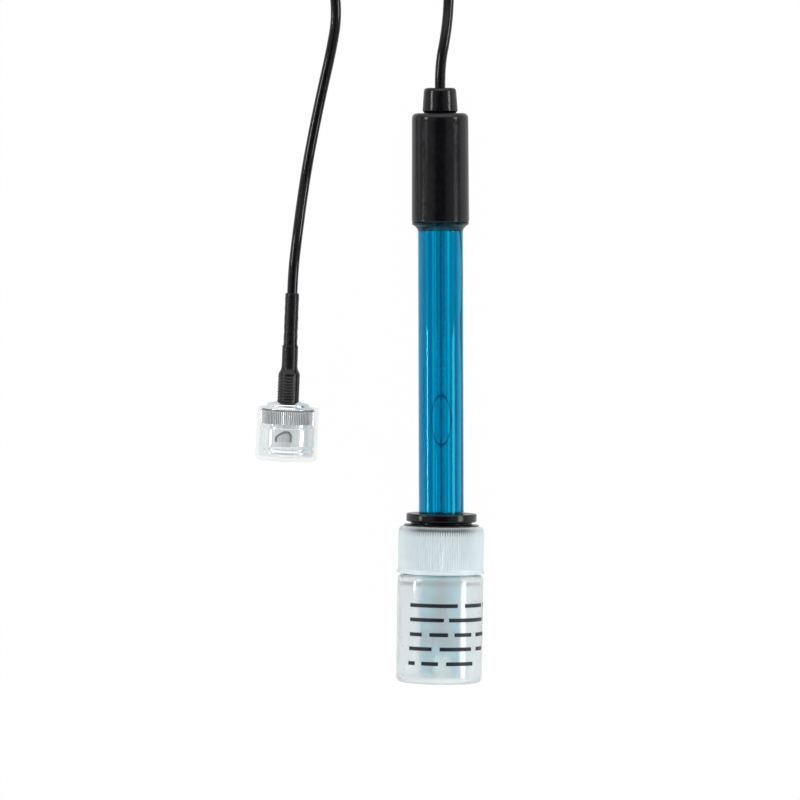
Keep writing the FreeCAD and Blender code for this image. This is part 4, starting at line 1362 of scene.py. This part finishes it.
def main():
    make_stage()
    materials = make_materials()
    for name, first, second, rough in (
        ("white_insulator", (0.76, 0.76, 0.73), (0.84, 0.84, 0.82), (0.35, 0.5)),
        ("silicone", (0.30, 0.06, 0.03), (0.42, 0.10, 0.06), (0.45, 0.6)),
        ("ceramic", (0.72, 0.70, 0.66), (0.85, 0.83, 0.79), (0.7, 0.9)),
        ("resin", (0.003, 0.003, 0.004), (0.012, 0.012, 0.014), (0.3, 0.5)),
        ("tie_black", (0.004, 0.004, 0.0045), (0.012, 0.012, 0.013), (0.35, 0.5)),
        ("print_dark", (0.003, 0.005, 0.010), (0.006, 0.010, 0.018), (0.4, 0.55)),
    ):
        materials[name] = plain_worn(name, first, second, rough)
    deep, lighter = (0.002, 0.002, 0.0025), (0.005, 0.005, 0.006)
    materials["cord_jacket"] = plain_worn(
        "cord_jacket", deep, lighter, (0.08, 0.14), shine=0.36, depth=0.000004
    )
    materials["shrink_black"] = plain_worn(
        "shrink_black", deep, lighter, (0.22, 0.34), shine=0.34, depth=0.00001
    )
    slots = {part["node"]: part["material_slot"] for part in frame["record"]["subparts"]}
    for name, cad in nodes.items():
        cad.data.materials.clear()
        slot = slots[name]
        key = {"milky_plastic": "cap_milk"}.get(slot, slot)
        cad.data.materials.append(materials[key])

    barrel = make_barrel()
    wall_finishes(
        barrel,
        materials["clear_blue"],
        (materials["bore_wet"], 5.2, GUARD_TOP, SPIGOT_TOP),
        (materials["bore_dry"], 4.5, TIP, GUARD_TOP),
    )
    # The ends of the oval's slope get painted shade
    darken_oval(barrel, materials["oval_rim_shade"])
    carry(set_in_place(barrel, STACK, smooth=28), "clear_blue", "electrode", "body_tube")
    stem = make_stem()
    wall_finishes(stem, materials["stem_wet"], (materials["stem_glass"], 1.3, 9.0, 134.4))
    carry(set_in_place(stem, STACK), "stem_glass", "electrode", "glass_stem")
    finish_piece(make_head(), materials["gloss_black"], "gloss_black", "electrode", "head_cap")
    finish_piece(make_bush(), materials["black_rubber"], "black_rubber", "electrode", "cable_bush")
    finish_piece(make_gland(), materials["black_rubber"], "black_rubber", "cap", "gland_ring")
    finish_piece(make_cap(), materials["cap_milk"], "milky_plastic", "cap", "bottle_cap")
    finish_piece(
        make_bottle(), materials["bottle_milk"], "milky_plastic", "bottle", "storage_bottle"
    )
    finish_piece(make_seal_ring(), materials["black_rubber"], "black_rubber", "cap", "sealing_ring")
    finish_piece(make_print(), materials["print_dark"], "gloss_black", "bottle")
    nut = make_nut()
    darken_slots(nut, materials["nut_nickel"], materials["slot_shade"])
    carry(set_in_place(nut, PLUG, smooth=30), "nickel", "sleeve", "plug_sleeve")
    finish_piece(make_cover(), materials["clear_plastic"], "clear_plastic", "cover", "plug_cover")
    finish_piece(make_plug_back(), materials["nickel"], "nickel", "electrode")
    finish_piece(
        make_shrink_sleeve(), materials["shrink_black"], "shrink_black", "electrode",
        "shrink_sleeve",
    )
    finish_piece(
        make_marker_sleeve(), materials["shrink_black"], "shrink_black", "electrode",
        "marker_sleeve",
    )
    finish_piece(make_wire(), materials["silver"], "silver", "electrode", "reference_wire")
    finish_piece(make_tie(), materials["tie_black"], "tie_black", "electrode", "coil_tie")
    cord = make_cord(materials)


main()
